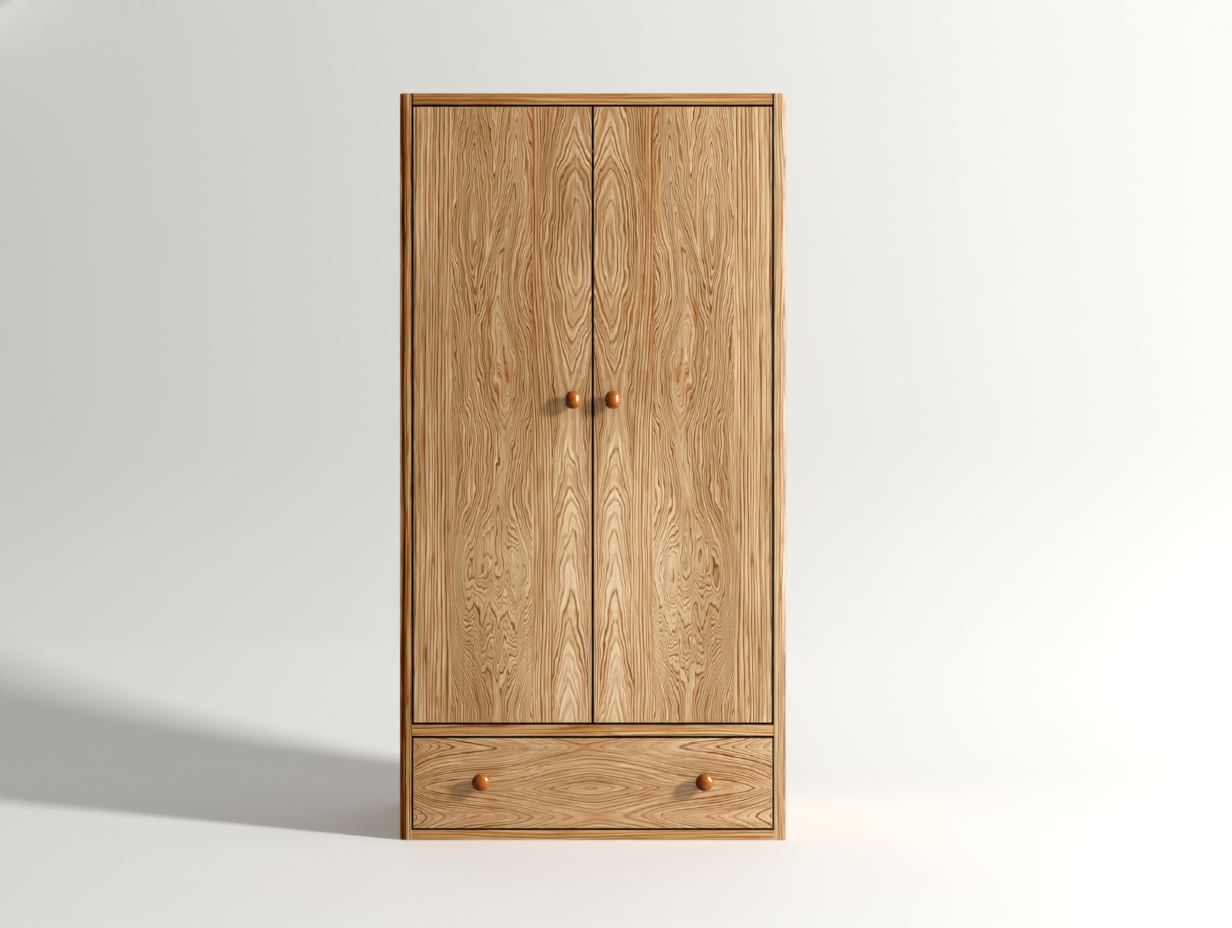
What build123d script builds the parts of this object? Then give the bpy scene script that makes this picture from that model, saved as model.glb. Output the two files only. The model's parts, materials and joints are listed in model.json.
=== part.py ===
from build123d import *
from math import acos, degrees, sin, radians
import os

# An oak armoire: two doors on knife hinges over one drawer, in a frame of thick boards.
# Millimetres, +Z up, the front towards -Y, the left door at -X. The origin is on the floor,
# under the middle of the whole piece with its knobs.

# Whole piece
WIDTH = 1000.0
HEIGHT = 1930.0
DEPTH = 580.0

# Boards of the frame
SIDE_THICKNESS = 32.0
SIDE_ROUNDING = 16.0
TOP_THICKNESS = 30.0
MIDDLE_RAIL_HEIGHT = 30.0
MIDDLE_RAIL_DEPTH = 70.0
BOTTOM_RAIL_HEIGHT = 27.0
BOTTOM_RAIL_DEPTH = 70.0
REAR_RAIL_DEPTH = 60.0
ARRIS = 1.0

# Panels and battens inside the frame
FLOOR_THICKNESS = 18.0
TONGUE_THICKNESS = 6.0
TONGUE_LENGTH = 8.0
CLEAT_SECTION = 20.0
BASE_THICKNESS = 9.0
BASE_RISE = 8.0
BASE_GROOVE_DEPTH = 8.0
BACK_THICKNESS = 8.0
BACK_FLOOR_GAP = 5.0
RABBET_WIDTH = 12.0
PANEL_PLAY = 0.5

# Rail under the top that is screwed to a wall
FIXING_RAIL_THICKNESS = 20.0
FIXING_RAIL_HEIGHT = 90.0
WALL_HOLE_RADIUS = 3.0
WALL_HOLE_SPACING = 600.0

# Doors and drawer front
REVEAL = 4.5
FRONT_THICKNESS = 22.0
DRAWER_FRONT_HEIGHT = 233.0

# Knobs
KNOB_DIAMETER = 46.0
DOOR_KNOB_WIDTH = 38.0
KNOB_PROJECTION = 40.0
KNOB_HEAD_LENGTH = 34.0
KNOB_NECK_DIAMETER = 20.0
KNOB_NECK_FILLET = 2.5
DOOR_KNOB_HEIGHT = 1137.0
DOOR_KNOB_INSET = 49.0
DRAWER_KNOB_SPACING = 575.0
DRAWER_KNOB_RISE = 5.0
KNOB_SCREW_RADIUS = 2.0
KNOB_SCREW_HEAD_RADIUS = 4.2
KNOB_SCREW_HEAD_HEIGHT = 2.4
KNOB_SCREW_BITE = 14.0
KNOB_SCREW_ROOM = 0.3

# Knife hinges
LEAF_LENGTH = 60.0
LEAF_WIDTH = 12.0
LEAF_THICKNESS = 2.5
LEAF_PROUD = 0.5
LEAF_ROOM = 0.25
LEAF_SCREW_FIRST = 18.0
LEAF_SCREW_SPACING = 24.0
LEAF_SCREW_COUNT = 2
PIN_RADIUS = 3.0
PIN_FIT = 0.05
PIN_TAIL = 6.0
PIN_HOLE_ROOM = 0.5
BUSH_RADIUS = 5.5
BUSH_PLAY = 0.1
SWING_CLEARANCE = 1.0

# Magnetic catches
CATCH_WIDTH = 46.0
CATCH_DEPTH = 14.0
CATCH_HEIGHT = 15.0
CATCH_INSET = 60.0
CATCH_GAP = 0.2
CATCH_EDGE = 2.0
CATCH_SCREW_SPACING = 30.0
STRIKE_WIDTH = 40.0
STRIKE_HEIGHT = 14.0
STRIKE_THICKNESS = 1.2
STRIKE_SCREW_SPACING = 26.0
STRIKE_DROP = 2.0

# Clothes rail
RAIL_RADIUS = 12.5
RAIL_WALL = 1.5
RAIL_DROP = 70.0
RAIL_FIT = 0.2
RAIL_END_PLAY = 0.5
SOCKET_BASE = 3.0
SOCKET_CUP = 14.0
SOCKET_WALL = 2.0
SOCKET_RIM = 10.0
SOCKET_SCREW_COUNT = 3

# Drawer box
DRAWER_LENGTH = 502.0
DRAWER_SIDE_THICKNESS = 16.0
DRAWER_BACK_THICKNESS = 16.0
DRAWER_SIDE_LIFT = 10.0
DRAWER_SIDE_DROP = 32.0
DRAWER_BOTTOM_THICKNESS = 6.0
DRAWER_BOTTOM_RISE = 10.0
DRAWER_GROOVE_DEPTH = 6.0
TAIL_COUNT = 4
TAIL_WIDTH = 30.0
TAIL_LENGTH = 16.0
TAIL_ANGLE = 80.0
RUNNER_LENGTH = 440.0
RUNNER_HEIGHT = 18.0
RUNNER_ENGAGEMENT = 8.0
RUNNER_SETBACK = 12.0
RUNNER_PLAY = 0.4
RUNNER_TIP_PLAY = 1.0
STOP_WIDTH = 40.0
STOP_THICKNESS = 16.0
STOP_OVERLAP = 60.0
STOP_HEAD_ROOM = 4.0
STOP_SPACING = 300.0
STOP_PLAY = 1.0

# Dowels and wood screws
DOWEL_RADIUS = 4.0
DOWEL_LENGTH = 36.0
DOWEL_CHAMFER = 1.0
DOWEL_END_ROOM = 1.0
DOWEL_FIT = 0.05
RAIL_DOWEL_EDGE = 18.0
TOP_DOWEL_EDGE = 45.0
TOP_DOWEL_COUNT = 4
SCREW_RADIUS = 1.75
SCREW_HEAD_RADIUS = 3.5
SCREW_BITE = 15.0
SCREW_SHORT_BITE = 10.0
SCREW_SLOT_WIDTH = 0.9
SCREW_SLOT_DEPTH = 0.8
SCREW_FIT = 0.05
SCREW_TIP_ROOM = 0.5
BATTEN_SCREW_EDGE = 40.0
BATTEN_SCREW_COUNT = 3
BACK_SCREW_EDGE = 150.0
BACK_SCREW_ROW_COUNT = 5
BACK_SCREW_CROSS_COUNT = 3
BOTTOM_SCREW_EDGE = 120.0

# Levels and planes worked out from the sizes above
INNER_WIDTH = WIDTH - 2 * SIDE_THICKNESS
FRONT_Y = KNOB_PROJECTION - (DEPTH + KNOB_PROJECTION) / 2
BACK_Y = FRONT_Y + DEPTH
MIDDLE_Y = (FRONT_Y + BACK_Y) / 2
BACK_PANEL_Y = BACK_Y - BACK_THICKNESS
FRONTS_BACK_Y = FRONT_Y + FRONT_THICKNESS
TOP_UNDERSIDE = HEIGHT - TOP_THICKNESS
DRAWER_BOTTOM_Z = BOTTOM_RAIL_HEIGHT + REVEAL
DRAWER_TOP_Z = DRAWER_BOTTOM_Z + DRAWER_FRONT_HEIGHT
MIDDLE_RAIL_Z = DRAWER_TOP_Z + REVEAL
FLOOR_TOP = MIDDLE_RAIL_Z + MIDDLE_RAIL_HEIGHT
FLOOR_UNDERSIDE = FLOOR_TOP - FLOOR_THICKNESS
MIDDLE_RAIL_BACK_Y = FRONT_Y + MIDDLE_RAIL_DEPTH
RABBET_TOP = TOP_UNDERSIDE + RABBET_WIDTH
REAR_RAIL_FRONT_Y = BACK_PANEL_Y - REAR_RAIL_DEPTH
BOTTOM_RAIL_BACK_Y = FRONT_Y + BOTTOM_RAIL_DEPTH
FIXING_RAIL_FRONT_Y = BACK_PANEL_Y - FIXING_RAIL_THICKNESS
FIXING_RAIL_MIDDLE_Z = TOP_UNDERSIDE - FIXING_RAIL_HEIGHT / 2

DOOR_WIDTH = (INNER_WIDTH - 3 * REVEAL) / 2
DOOR_BOTTOM_Z = FLOOR_TOP + REVEAL
DOOR_TOP_Z = TOP_UNDERSIDE - REVEAL
DOOR_HEIGHT = DOOR_TOP_Z - DOOR_BOTTOM_Z
DOOR_MIDDLE_X = (REVEAL + DOOR_WIDTH) / 2
DOOR_HINGE_EDGE_X = INNER_WIDTH / 2 - REVEAL
DOOR_MEETING_EDGE_X = REVEAL / 2

# The pin stands far enough in from the hinge edge for the door's corner to clear the side as it turns
PIVOT_DEPTH = FRONT_THICKNESS / 2
SWING_ROOM = REVEAL - SWING_CLEARANCE
PIVOT_INSET = (PIVOT_DEPTH**2 - SWING_ROOM**2) / (2 * SWING_ROOM)
PIVOT_X = DOOR_HINGE_EDGE_X - PIVOT_INSET
PIVOT_Y = FRONT_Y + PIVOT_DEPTH
LEAF_LET_IN = LEAF_THICKNESS - LEAF_PROUD
LEAF_GAP = REVEAL - 2 * LEAF_PROUD
PIN_LENGTH = LEAF_GAP + LEAF_THICKNESS + PIN_TAIL

CATCH_X = DOOR_MEETING_EDGE_X + CATCH_INSET
CATCH_FRONT_Y = FRONTS_BACK_Y + STRIKE_THICKNESS + CATCH_GAP
RAIL_Y = (FRONTS_BACK_Y + BACK_PANEL_Y) / 2
RAIL_Z = TOP_UNDERSIDE - RAIL_DROP
SOCKET_CUP_RADIUS = RAIL_RADIUS + RAIL_FIT + SOCKET_WALL
SOCKET_FLANGE_RADIUS = SOCKET_CUP_RADIUS + SOCKET_RIM

DRAWER_WIDTH = INNER_WIDTH - 2 * REVEAL
DRAWER_SIDE_BOTTOM_Z = DRAWER_BOTTOM_Z + DRAWER_SIDE_LIFT
DRAWER_SIDE_TOP_Z = DRAWER_TOP_Z - DRAWER_SIDE_DROP
DRAWER_SIDE_HEIGHT = DRAWER_SIDE_TOP_Z - DRAWER_SIDE_BOTTOM_Z
DRAWER_BACK_Y = FRONT_Y + DRAWER_LENGTH
DRAWER_CLEAR_WIDTH = DRAWER_WIDTH - 2 * DRAWER_SIDE_THICKNESS
BOTTOM_PANEL_Z = DRAWER_SIDE_BOTTOM_Z + DRAWER_BOTTOM_RISE
BOTTOM_PANEL_TOP_Z = BOTTOM_PANEL_Z + DRAWER_BOTTOM_THICKNESS
BOTTOM_PANEL_WIDTH = DRAWER_CLEAR_WIDTH + 2 * DRAWER_GROOVE_DEPTH - 2 * PANEL_PLAY
BOTTOM_PANEL_FRONT_Y = FRONTS_BACK_Y - DRAWER_GROOVE_DEPTH + PANEL_PLAY
RUNNER_Z = (DRAWER_SIDE_BOTTOM_Z + DRAWER_SIDE_TOP_Z) / 2
RUNNER_FRONT_Y = FRONTS_BACK_Y + RUNNER_SETBACK
RUNNER_BACK_Y = RUNNER_FRONT_Y + RUNNER_LENGTH
RUNNER_WIDTH = REVEAL + RUNNER_ENGAGEMENT
STOP_BACK_Y = DRAWER_BACK_Y - DRAWER_BACK_THICKNESS
STOP_FRONT_Y = STOP_BACK_Y - STOP_THICKNESS
STOP_TOP_Z = FLOOR_UNDERSIDE - STOP_HEAD_ROOM
STOP_BOTTOM_Z = DRAWER_SIDE_TOP_Z - STOP_OVERLAP
DRAWER_TRAVEL = STOP_FRONT_Y - MIDDLE_RAIL_BACK_Y - STOP_PLAY

HANDS = (("left", -1), ("right", 1))
MINIMUM_CORNER = (Align.MIN, Align.MIN, Align.MIN)


def spread(low, high, edge, count):
    """Evenly spaced places between two ends, the outer ones an edge distance in."""
    step = (high - low - 2 * edge) / (count - 1)
    return [low + edge + step * place for place in range(count)]


def block(low, high, mode=Mode.ADD):
    """A rectangular block between two opposite corners."""
    with Locations(low):
        Box(high[0] - low[0], high[1] - low[1], high[2] - low[2], align=MINIMUM_CORNER, mode=mode)


def mirrored_block(sign, low, high, mode=Mode.ADD):
    """A block given for the right-hand side, placed on the side that the sign names."""
    near_x = min(sign * low[0], sign * high[0])
    far_x = max(sign * low[0], sign * high[0])
    block((near_x, low[1], low[2]), (far_x, high[1], high[2]), mode)


def ease_front(piece):
    """Ease the four edges round a board's front face."""
    fillet(piece.faces().sort_by(Axis.Y)[0].outer_wire().edges(), ARRIS)


def screw_shape(length, room):
    """A countersunk screw pointing down from its head at the origin, grown by a fit."""
    shank = SCREW_RADIUS + room
    head = SCREW_HEAD_RADIUS + room
    with BuildPart() as shape:
        with BuildSketch(Plane.XZ):
            with BuildLine():
                Polyline(
                    (0, 0),
                    (head, 0),
                    (shank, shank - head),
                    (shank, shank - length),
                    (0, -length),
                    close=True,
                )
            make_face()
        revolve(axis=Axis.Z)
    return shape.part


def wood_screw(length):
    """A slotted countersunk wood screw."""
    with BuildPart() as screw:
        add(screw_shape(length, 0))
        with Locations((0, 0, -SCREW_SLOT_DEPTH)):
            Box(
                2 * SCREW_HEAD_RADIUS,
                SCREW_SLOT_WIDTH,
                SCREW_SLOT_DEPTH,
                align=(Align.CENTER, Align.CENTER, Align.MIN),
                mode=Mode.SUBTRACT,
            )
    return screw.part


def screw_hole(length):
    """The space that a wood screw takes in the pieces it joins."""
    return screw_shape(length + SCREW_TIP_ROOM, SCREW_FIT)


def drill(length, places):
    """Cut a screw's space at each place."""
    hole = screw_hole(length)
    with Locations(*places):
        add(hole, mode=Mode.SUBTRACT)


def facing(point, outward):
    """A place for a screw head at a point, facing outward."""
    return Plane(origin=point, z_dir=outward).location


def write(piece, name):
    """Label a finished piece and write it under its name."""
    piece.part.label = name
    export_step(piece.part, f"parts/{name}.step")


def write_screws(name, length, places):
    """Write one node of identical wood screws."""
    screw = wood_screw(length)
    with BuildPart() as screws:
        with Locations(*places):
            add(screw)
    write(screws, name)


# Places of the dowels in each joint, as depth and height
TOP_DOWELS = [
    (y, TOP_UNDERSIDE + TOP_THICKNESS / 2)
    for y in spread(FRONT_Y, BACK_Y, TOP_DOWEL_EDGE, TOP_DOWEL_COUNT)
]
MIDDLE_DOWELS = [
    (y, MIDDLE_RAIL_Z + MIDDLE_RAIL_HEIGHT / 2)
    for y in spread(FRONT_Y, MIDDLE_RAIL_BACK_Y, RAIL_DOWEL_EDGE, 2)
]
BOTTOM_DOWELS = [
    (y, BOTTOM_RAIL_HEIGHT / 2) for y in spread(FRONT_Y, BOTTOM_RAIL_BACK_Y, RAIL_DOWEL_EDGE, 2)
]
REAR_DOWELS = [
    (y, BOTTOM_RAIL_HEIGHT / 2) for y in spread(REAR_RAIL_FRONT_Y, BACK_PANEL_Y, RAIL_DOWEL_EDGE, 2)
]
FIXING_DOWELS = [
    (BACK_PANEL_Y - FIXING_RAIL_THICKNESS / 2, z)
    for z in spread(TOP_UNDERSIDE - FIXING_RAIL_HEIGHT, TOP_UNDERSIDE, RAIL_DOWEL_EDGE, 2)
]
ALL_DOWELS = TOP_DOWELS + MIDDLE_DOWELS + BOTTOM_DOWELS + REAR_DOWELS + FIXING_DOWELS


def dowel_places(points, signs=(-1, 1)):
    """Dowel centres on the inner faces of the sides."""
    return [facing((sign * INNER_WIDTH / 2, y, z), (1, 0, 0)) for sign in signs for y, z in points]


def bore_dowels(points, signs=(-1, 1)):
    """Cut the dowel holes of a joint."""
    with Locations(*dowel_places(points, signs)):
        Cylinder(
            DOWEL_RADIUS + DOWEL_FIT,
            DOWEL_LENGTH + 2 * DOWEL_END_ROOM,
            mode=Mode.SUBTRACT,
        )


# Places of the screws, each with its head facing the way it is driven from
BACK_SCREW_LENGTH = BACK_THICKNESS + SCREW_BITE
BACK_SCREW_X = INNER_WIDTH / 2 + RABBET_WIDTH / 2
BACK_SCREW_CROSS_X = spread(-INNER_WIDTH / 2, INNER_WIDTH / 2, BACK_SCREW_EDGE, BACK_SCREW_CROSS_COUNT)


def back_row(sign):
    """Screws through the back panel into one side."""
    heights = spread(0, HEIGHT, BACK_SCREW_EDGE, BACK_SCREW_ROW_COUNT)
    return [facing((sign * BACK_SCREW_X, BACK_Y, z), (0, 1, 0)) for z in heights]


def back_cross(z):
    """Screws through the back panel into a board that crosses behind it."""
    return [facing((x, BACK_Y, z), (0, 1, 0)) for x in BACK_SCREW_CROSS_X]


BACK_TOP_SCREWS = back_cross((TOP_UNDERSIDE + RABBET_TOP) / 2)
BACK_FLOOR_SCREWS = back_cross((FLOOR_UNDERSIDE + FLOOR_TOP) / 2)
BACK_REAR_SCREWS = back_cross((BACK_FLOOR_GAP + BOTTOM_RAIL_HEIGHT) / 2)

CLEAT_SCREW_LENGTH = CLEAT_SECTION + SCREW_BITE
RUNNER_SCREW_LENGTH = RUNNER_WIDTH + SCREW_BITE
SOCKET_SCREW_LENGTH = SOCKET_BASE + SCREW_BITE
LEAF_SCREW_LENGTH = LEAF_THICKNESS + SCREW_BITE
CATCH_SCREW_LENGTH = CATCH_HEIGHT + SCREW_BITE
STRIKE_SCREW_LENGTH = STRIKE_THICKNESS + SCREW_BITE
STOP_SCREW_LENGTH = STOP_THICKNESS + SCREW_SHORT_BITE
BOTTOM_SCREW_LENGTH = DRAWER_BOTTOM_THICKNESS + SCREW_BITE


def batten_screws(sign, width, z, front_y, back_y):
    """Screws through a batten of a given width into one side."""
    depths = spread(front_y, back_y, BATTEN_SCREW_EDGE, BATTEN_SCREW_COUNT)
    return [facing((sign * (INNER_WIDTH / 2 - width), y, z), (-sign, 0, 0)) for y in depths]


def cleat_screws(sign):
    """Screws of one floor cleat."""
    middle_z = FLOOR_UNDERSIDE - CLEAT_SECTION / 2
    return batten_screws(sign, CLEAT_SECTION, middle_z, MIDDLE_RAIL_BACK_Y, BACK_PANEL_Y)


def runner_screws(sign):
    """Screws of one drawer runner."""
    return batten_screws(sign, RUNNER_WIDTH, RUNNER_Z, RUNNER_FRONT_Y, RUNNER_BACK_Y)


def socket_plane(sign):
    """The face of one side that a rail socket sits on."""
    return Plane(origin=(sign * INNER_WIDTH / 2, RAIL_Y, RAIL_Z), x_dir=(0, 1, 0), z_dir=(-sign, 0, 0))


def socket_screws(sign):
    """Screws round the flange of one rail socket."""
    circle = SOCKET_CUP_RADIUS + SOCKET_RIM / 2
    face = socket_plane(sign).offset(SOCKET_BASE).location
    turns = [360 / SOCKET_SCREW_COUNT * place for place in range(SOCKET_SCREW_COUNT)]
    return [face * Location((0, 0, 0), (0, 0, turn)) * Location((circle, 0, 0)) for turn in turns]


def leaf_plane(sign, z, up):
    """A leaf's seat: at the pin, along the leaf, facing out of the wood."""
    return Plane(origin=(sign * PIVOT_X, PIVOT_Y, z), x_dir=(-sign, 0, 0), z_dir=(0, 0, up))


FRAME_SEATS = {"top": (TOP_UNDERSIDE, -1), "bottom": (FLOOR_TOP, 1)}
DOOR_SEATS = {"top": (DOOR_TOP_Z, 1), "bottom": (DOOR_BOTTOM_Z, -1)}


def leaf_screws(plane):
    """Screws along one hinge leaf."""
    face = plane.offset(LEAF_PROUD).location
    distances = [LEAF_SCREW_FIRST + LEAF_SCREW_SPACING * place for place in range(LEAF_SCREW_COUNT)]
    return [face * Location((distance, 0, 0)) for distance in distances]


def leaf_blank(plane, room, thickness):
    """A plain leaf, round at the pin and at its far end, grown by some room."""
    with BuildPart() as blank:
        with BuildSketch(plane.offset(-LEAF_LET_IN)):
            with Locations(((LEAF_LENGTH - LEAF_WIDTH) / 2, 0)):
                SlotOverall(LEAF_LENGTH + 2 * room, LEAF_WIDTH + 2 * room)
        extrude(amount=thickness)
    return blank.part


def let_in_leaf(plane):
    """Cut a leaf's seat and screw holes in the wood."""
    add(leaf_blank(plane, LEAF_ROOM, LEAF_LET_IN), mode=Mode.SUBTRACT)
    drill(LEAF_SCREW_LENGTH, leaf_screws(plane))


def catch_screws(sign):
    """Screws of one catch, driven up into the top."""
    return [
        facing(
            (
                sign * CATCH_X + offset,
                CATCH_FRONT_Y + CATCH_DEPTH / 2,
                TOP_UNDERSIDE - CATCH_HEIGHT,
            ),
            (0, 0, -1),
        )
        for offset in (-CATCH_SCREW_SPACING / 2, CATCH_SCREW_SPACING / 2)
    ]


STRIKE_MIDDLE_Z = DOOR_TOP_Z - STRIKE_DROP - STRIKE_HEIGHT / 2


def strike_screws(sign):
    """Screws of one strike plate, driven into the back of the door."""
    return [
        facing((sign * CATCH_X + offset, FRONTS_BACK_Y + STRIKE_THICKNESS, STRIKE_MIDDLE_Z), (0, 1, 0))
        for offset in (-STRIKE_SCREW_SPACING / 2, STRIKE_SCREW_SPACING / 2)
    ]


def stop_screws(sign):
    """Screws of one stop block, driven into the drawer back."""
    middle_x = sign * STOP_SPACING / 2
    heights = spread(STOP_BOTTOM_Z, DRAWER_SIDE_TOP_Z, STOP_OVERLAP / 4, 2)
    return [facing((middle_x, STOP_FRONT_Y, z), (0, -1, 0)) for z in heights]


BOTTOM_SCREWS = [
    facing((x, DRAWER_BACK_Y - DRAWER_BACK_THICKNESS / 2, BOTTOM_PANEL_Z), (0, 0, -1))
    for x in spread(-DRAWER_CLEAR_WIDTH / 2, DRAWER_CLEAR_WIDTH / 2, BOTTOM_SCREW_EDGE, 3)
]


def knob_seat(x, z):
    """A knob's seat on the front, facing out."""
    return Plane(origin=(x, FRONT_Y, z), x_dir=(1, 0, 0), z_dir=(0, -1, 0)).location


DOOR_KNOB_X = DOOR_MEETING_EDGE_X + DOOR_KNOB_INSET
DRAWER_KNOB_Z = (DRAWER_BOTTOM_Z + DRAWER_TOP_Z) / 2 + DRAWER_KNOB_RISE


def door_knob_seat(sign):
    """The seat of one door's knob."""
    return knob_seat(sign * DOOR_KNOB_X, DOOR_KNOB_HEIGHT)


def drawer_knob_seat(sign):
    """The seat of one drawer knob."""
    return knob_seat(sign * DRAWER_KNOB_SPACING / 2, DRAWER_KNOB_Z)


def bore_knob_screws(seats):
    """Cut the clearance holes of the knob screws through a front."""
    with Locations(*seats):
        Hole(KNOB_SCREW_RADIUS + KNOB_SCREW_ROOM)


def side_board(sign):
    """One side of the frame, from the floor to the top."""
    with BuildPart() as board:
        with BuildSketch() as plan:
            with Locations((sign * (WIDTH - SIDE_THICKNESS) / 2, MIDDLE_Y)):
                Rectangle(SIDE_THICKNESS, DEPTH)
            corners = plan.vertices().group_by(Axis.Y)[0].sort_by(Axis.X, reverse=sign > 0)
            fillet(corners[0], SIDE_ROUNDING)
            fillet(corners[1], ARRIS)
        extrude(amount=HEIGHT)
        mirrored_block(
            sign,
            (INNER_WIDTH / 2, BACK_PANEL_Y, 0),
            (INNER_WIDTH / 2 + RABBET_WIDTH, BACK_Y, RABBET_TOP),
            Mode.SUBTRACT,
        )
        bore_dowels(ALL_DOWELS, (sign,))
        drill(BACK_SCREW_LENGTH, back_row(sign))
        drill(CLEAT_SCREW_LENGTH, cleat_screws(sign))
        drill(RUNNER_SCREW_LENGTH, runner_screws(sign))
        drill(SOCKET_SCREW_LENGTH, socket_screws(sign))
    return board


def floor_cleat(sign):
    """A batten that carries one end of the wardrobe floor."""
    with BuildPart() as cleat:
        mirrored_block(
            sign,
            (INNER_WIDTH / 2 - CLEAT_SECTION, MIDDLE_RAIL_BACK_Y, FLOOR_UNDERSIDE - CLEAT_SECTION),
            (INNER_WIDTH / 2, BACK_PANEL_Y, FLOOR_UNDERSIDE),
        )
        drill(CLEAT_SCREW_LENGTH, cleat_screws(sign))
    return cleat


def drawer_runner(sign):
    """A batten that the groove in one drawer side slides on."""
    with BuildPart() as runner:
        mirrored_block(
            sign,
            (INNER_WIDTH / 2 - RUNNER_WIDTH, RUNNER_FRONT_Y, RUNNER_Z - RUNNER_HEIGHT / 2),
            (INNER_WIDTH / 2, RUNNER_BACK_Y, RUNNER_Z + RUNNER_HEIGHT / 2),
        )
        drill(RUNNER_SCREW_LENGTH, runner_screws(sign))
    return runner


def rail_socket(sign):
    """A flanged cup that holds one end of the clothes rail."""
    with BuildPart() as socket:
        with BuildSketch(socket_plane(sign)):
            Circle(SOCKET_FLANGE_RADIUS)
        extrude(amount=SOCKET_BASE)
        with BuildSketch(socket_plane(sign).offset(SOCKET_BASE)):
            Circle(SOCKET_CUP_RADIUS)
            Circle(RAIL_RADIUS + RAIL_FIT, mode=Mode.SUBTRACT)
        extrude(amount=SOCKET_CUP)
        drill(SOCKET_SCREW_LENGTH, socket_screws(sign))
    return socket


def frame_leaf(sign, end):
    """The hinge leaf let into the frame, with its pin."""
    plane = leaf_plane(sign, *FRAME_SEATS[end])
    with BuildPart() as leaf:
        add(leaf_blank(plane, 0, LEAF_THICKNESS))
        with BuildSketch(plane.offset(LEAF_PROUD)):
            Circle(PIN_RADIUS)
        extrude(amount=PIN_LENGTH)
        drill(LEAF_SCREW_LENGTH, leaf_screws(plane))
    return leaf


def door_leaf(sign, end):
    """The hinge leaf let into a door's edge, with the hole that turns on the pin."""
    plane = leaf_plane(sign, *DOOR_SEATS[end])
    with BuildPart() as leaf:
        add(leaf_blank(plane, 0, LEAF_THICKNESS))
        with Locations(plane):
            Hole(PIN_RADIUS + PIN_FIT)
        drill(LEAF_SCREW_LENGTH, leaf_screws(plane))
    return leaf


def catch(sign):
    """A magnetic catch under the top, behind one door."""
    with BuildPart() as body:
        with Locations((sign * CATCH_X, CATCH_FRONT_Y, TOP_UNDERSIDE)):
            Box(CATCH_WIDTH, CATCH_DEPTH, CATCH_HEIGHT, align=(Align.CENTER, Align.MIN, Align.MAX))
        fillet(body.edges().filter_by(Axis.Z), CATCH_EDGE)
        drill(CATCH_SCREW_LENGTH, catch_screws(sign))
    return body


def strike_plate(sign):
    """The steel plate on the back of a door that the catch pulls on."""
    with BuildPart() as plate:
        with Locations((sign * CATCH_X, FRONTS_BACK_Y, STRIKE_MIDDLE_Z)):
            Box(
                STRIKE_WIDTH,
                STRIKE_THICKNESS,
                STRIKE_HEIGHT,
                align=(Align.CENTER, Align.MIN, Align.CENTER),
            )
        fillet(plate.edges().filter_by(Axis.Y), CATCH_EDGE)
        drill(STRIKE_SCREW_LENGTH, strike_screws(sign))
    return plate


def door(sign):
    """One flush door, let in for its hinge leaves and bored for its knob."""
    with BuildPart() as panel:
        with Locations((sign * DOOR_MIDDLE_X, PIVOT_Y, (DOOR_BOTTOM_Z + DOOR_TOP_Z) / 2)):
            Box(DOOR_WIDTH, FRONT_THICKNESS, DOOR_HEIGHT)
        fillet(panel.edges().filter_by(Axis.Y, reverse=True), ARRIS)
        for z, up in DOOR_SEATS.values():
            plane = leaf_plane(sign, z, up)
            let_in_leaf(plane)
            with Locations(plane.offset(-LEAF_LET_IN)):
                Hole(PIN_RADIUS + PIN_HOLE_ROOM, PIN_TAIL + PIN_HOLE_ROOM)
        bore_knob_screws([door_knob_seat(sign)])
        drill(STRIKE_SCREW_LENGTH, strike_screws(sign))
    return panel


def knob(width, seat):
    """A turned knob with a domed head on a straight neck, drawn in to its width."""
    head_radius = KNOB_DIAMETER / 2
    head_middle = KNOB_PROJECTION - KNOB_HEAD_LENGTH / 2
    neck_radius = KNOB_NECK_DIAMETER / 2
    neck_angle = degrees(acos(neck_radius / head_radius))
    neck_top = head_middle - KNOB_HEAD_LENGTH / 2 * sin(radians(neck_angle))
    with BuildPart() as blank:
        with BuildSketch(Plane.XZ):
            with BuildLine():
                Polyline((0, KNOB_PROJECTION), (0, 0), (neck_radius, 0), (neck_radius, neck_top))
                EllipticalCenterArc(
                    (0, head_middle),
                    head_radius,
                    KNOB_HEAD_LENGTH / 2,
                    start_angle=-neck_angle,
                    arc_size=90 + neck_angle,
                )
            make_face()
        revolve(axis=Axis.Z)
        joint_edge = blank.edges().filter_by(GeomType.CIRCLE).sort_by(Axis.Z)[-1]
        fillet(joint_edge, KNOB_NECK_FILLET)
        scale(by=(width / KNOB_DIAMETER, 1, 1))
        Hole(KNOB_SCREW_RADIUS + SCREW_FIT, KNOB_SCREW_BITE + SCREW_TIP_ROOM)
    with BuildPart() as placed:
        with Locations(seat):
            add(blank.part)
    return placed


def knob_screws(seats):
    """Pan-headed screws that hold the knobs from behind a front."""
    with BuildPart() as screws:
        with Locations(*seats):
            with Locations((0, 0, -FRONT_THICKNESS)):
                Cylinder(
                    KNOB_SCREW_RADIUS,
                    FRONT_THICKNESS + KNOB_SCREW_BITE,
                    align=(Align.CENTER, Align.CENTER, Align.MIN),
                )
                Cylinder(
                    KNOB_SCREW_HEAD_RADIUS,
                    KNOB_SCREW_HEAD_HEIGHT,
                    align=(Align.CENTER, Align.CENTER, Align.MAX),
                )
    return screws


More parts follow.
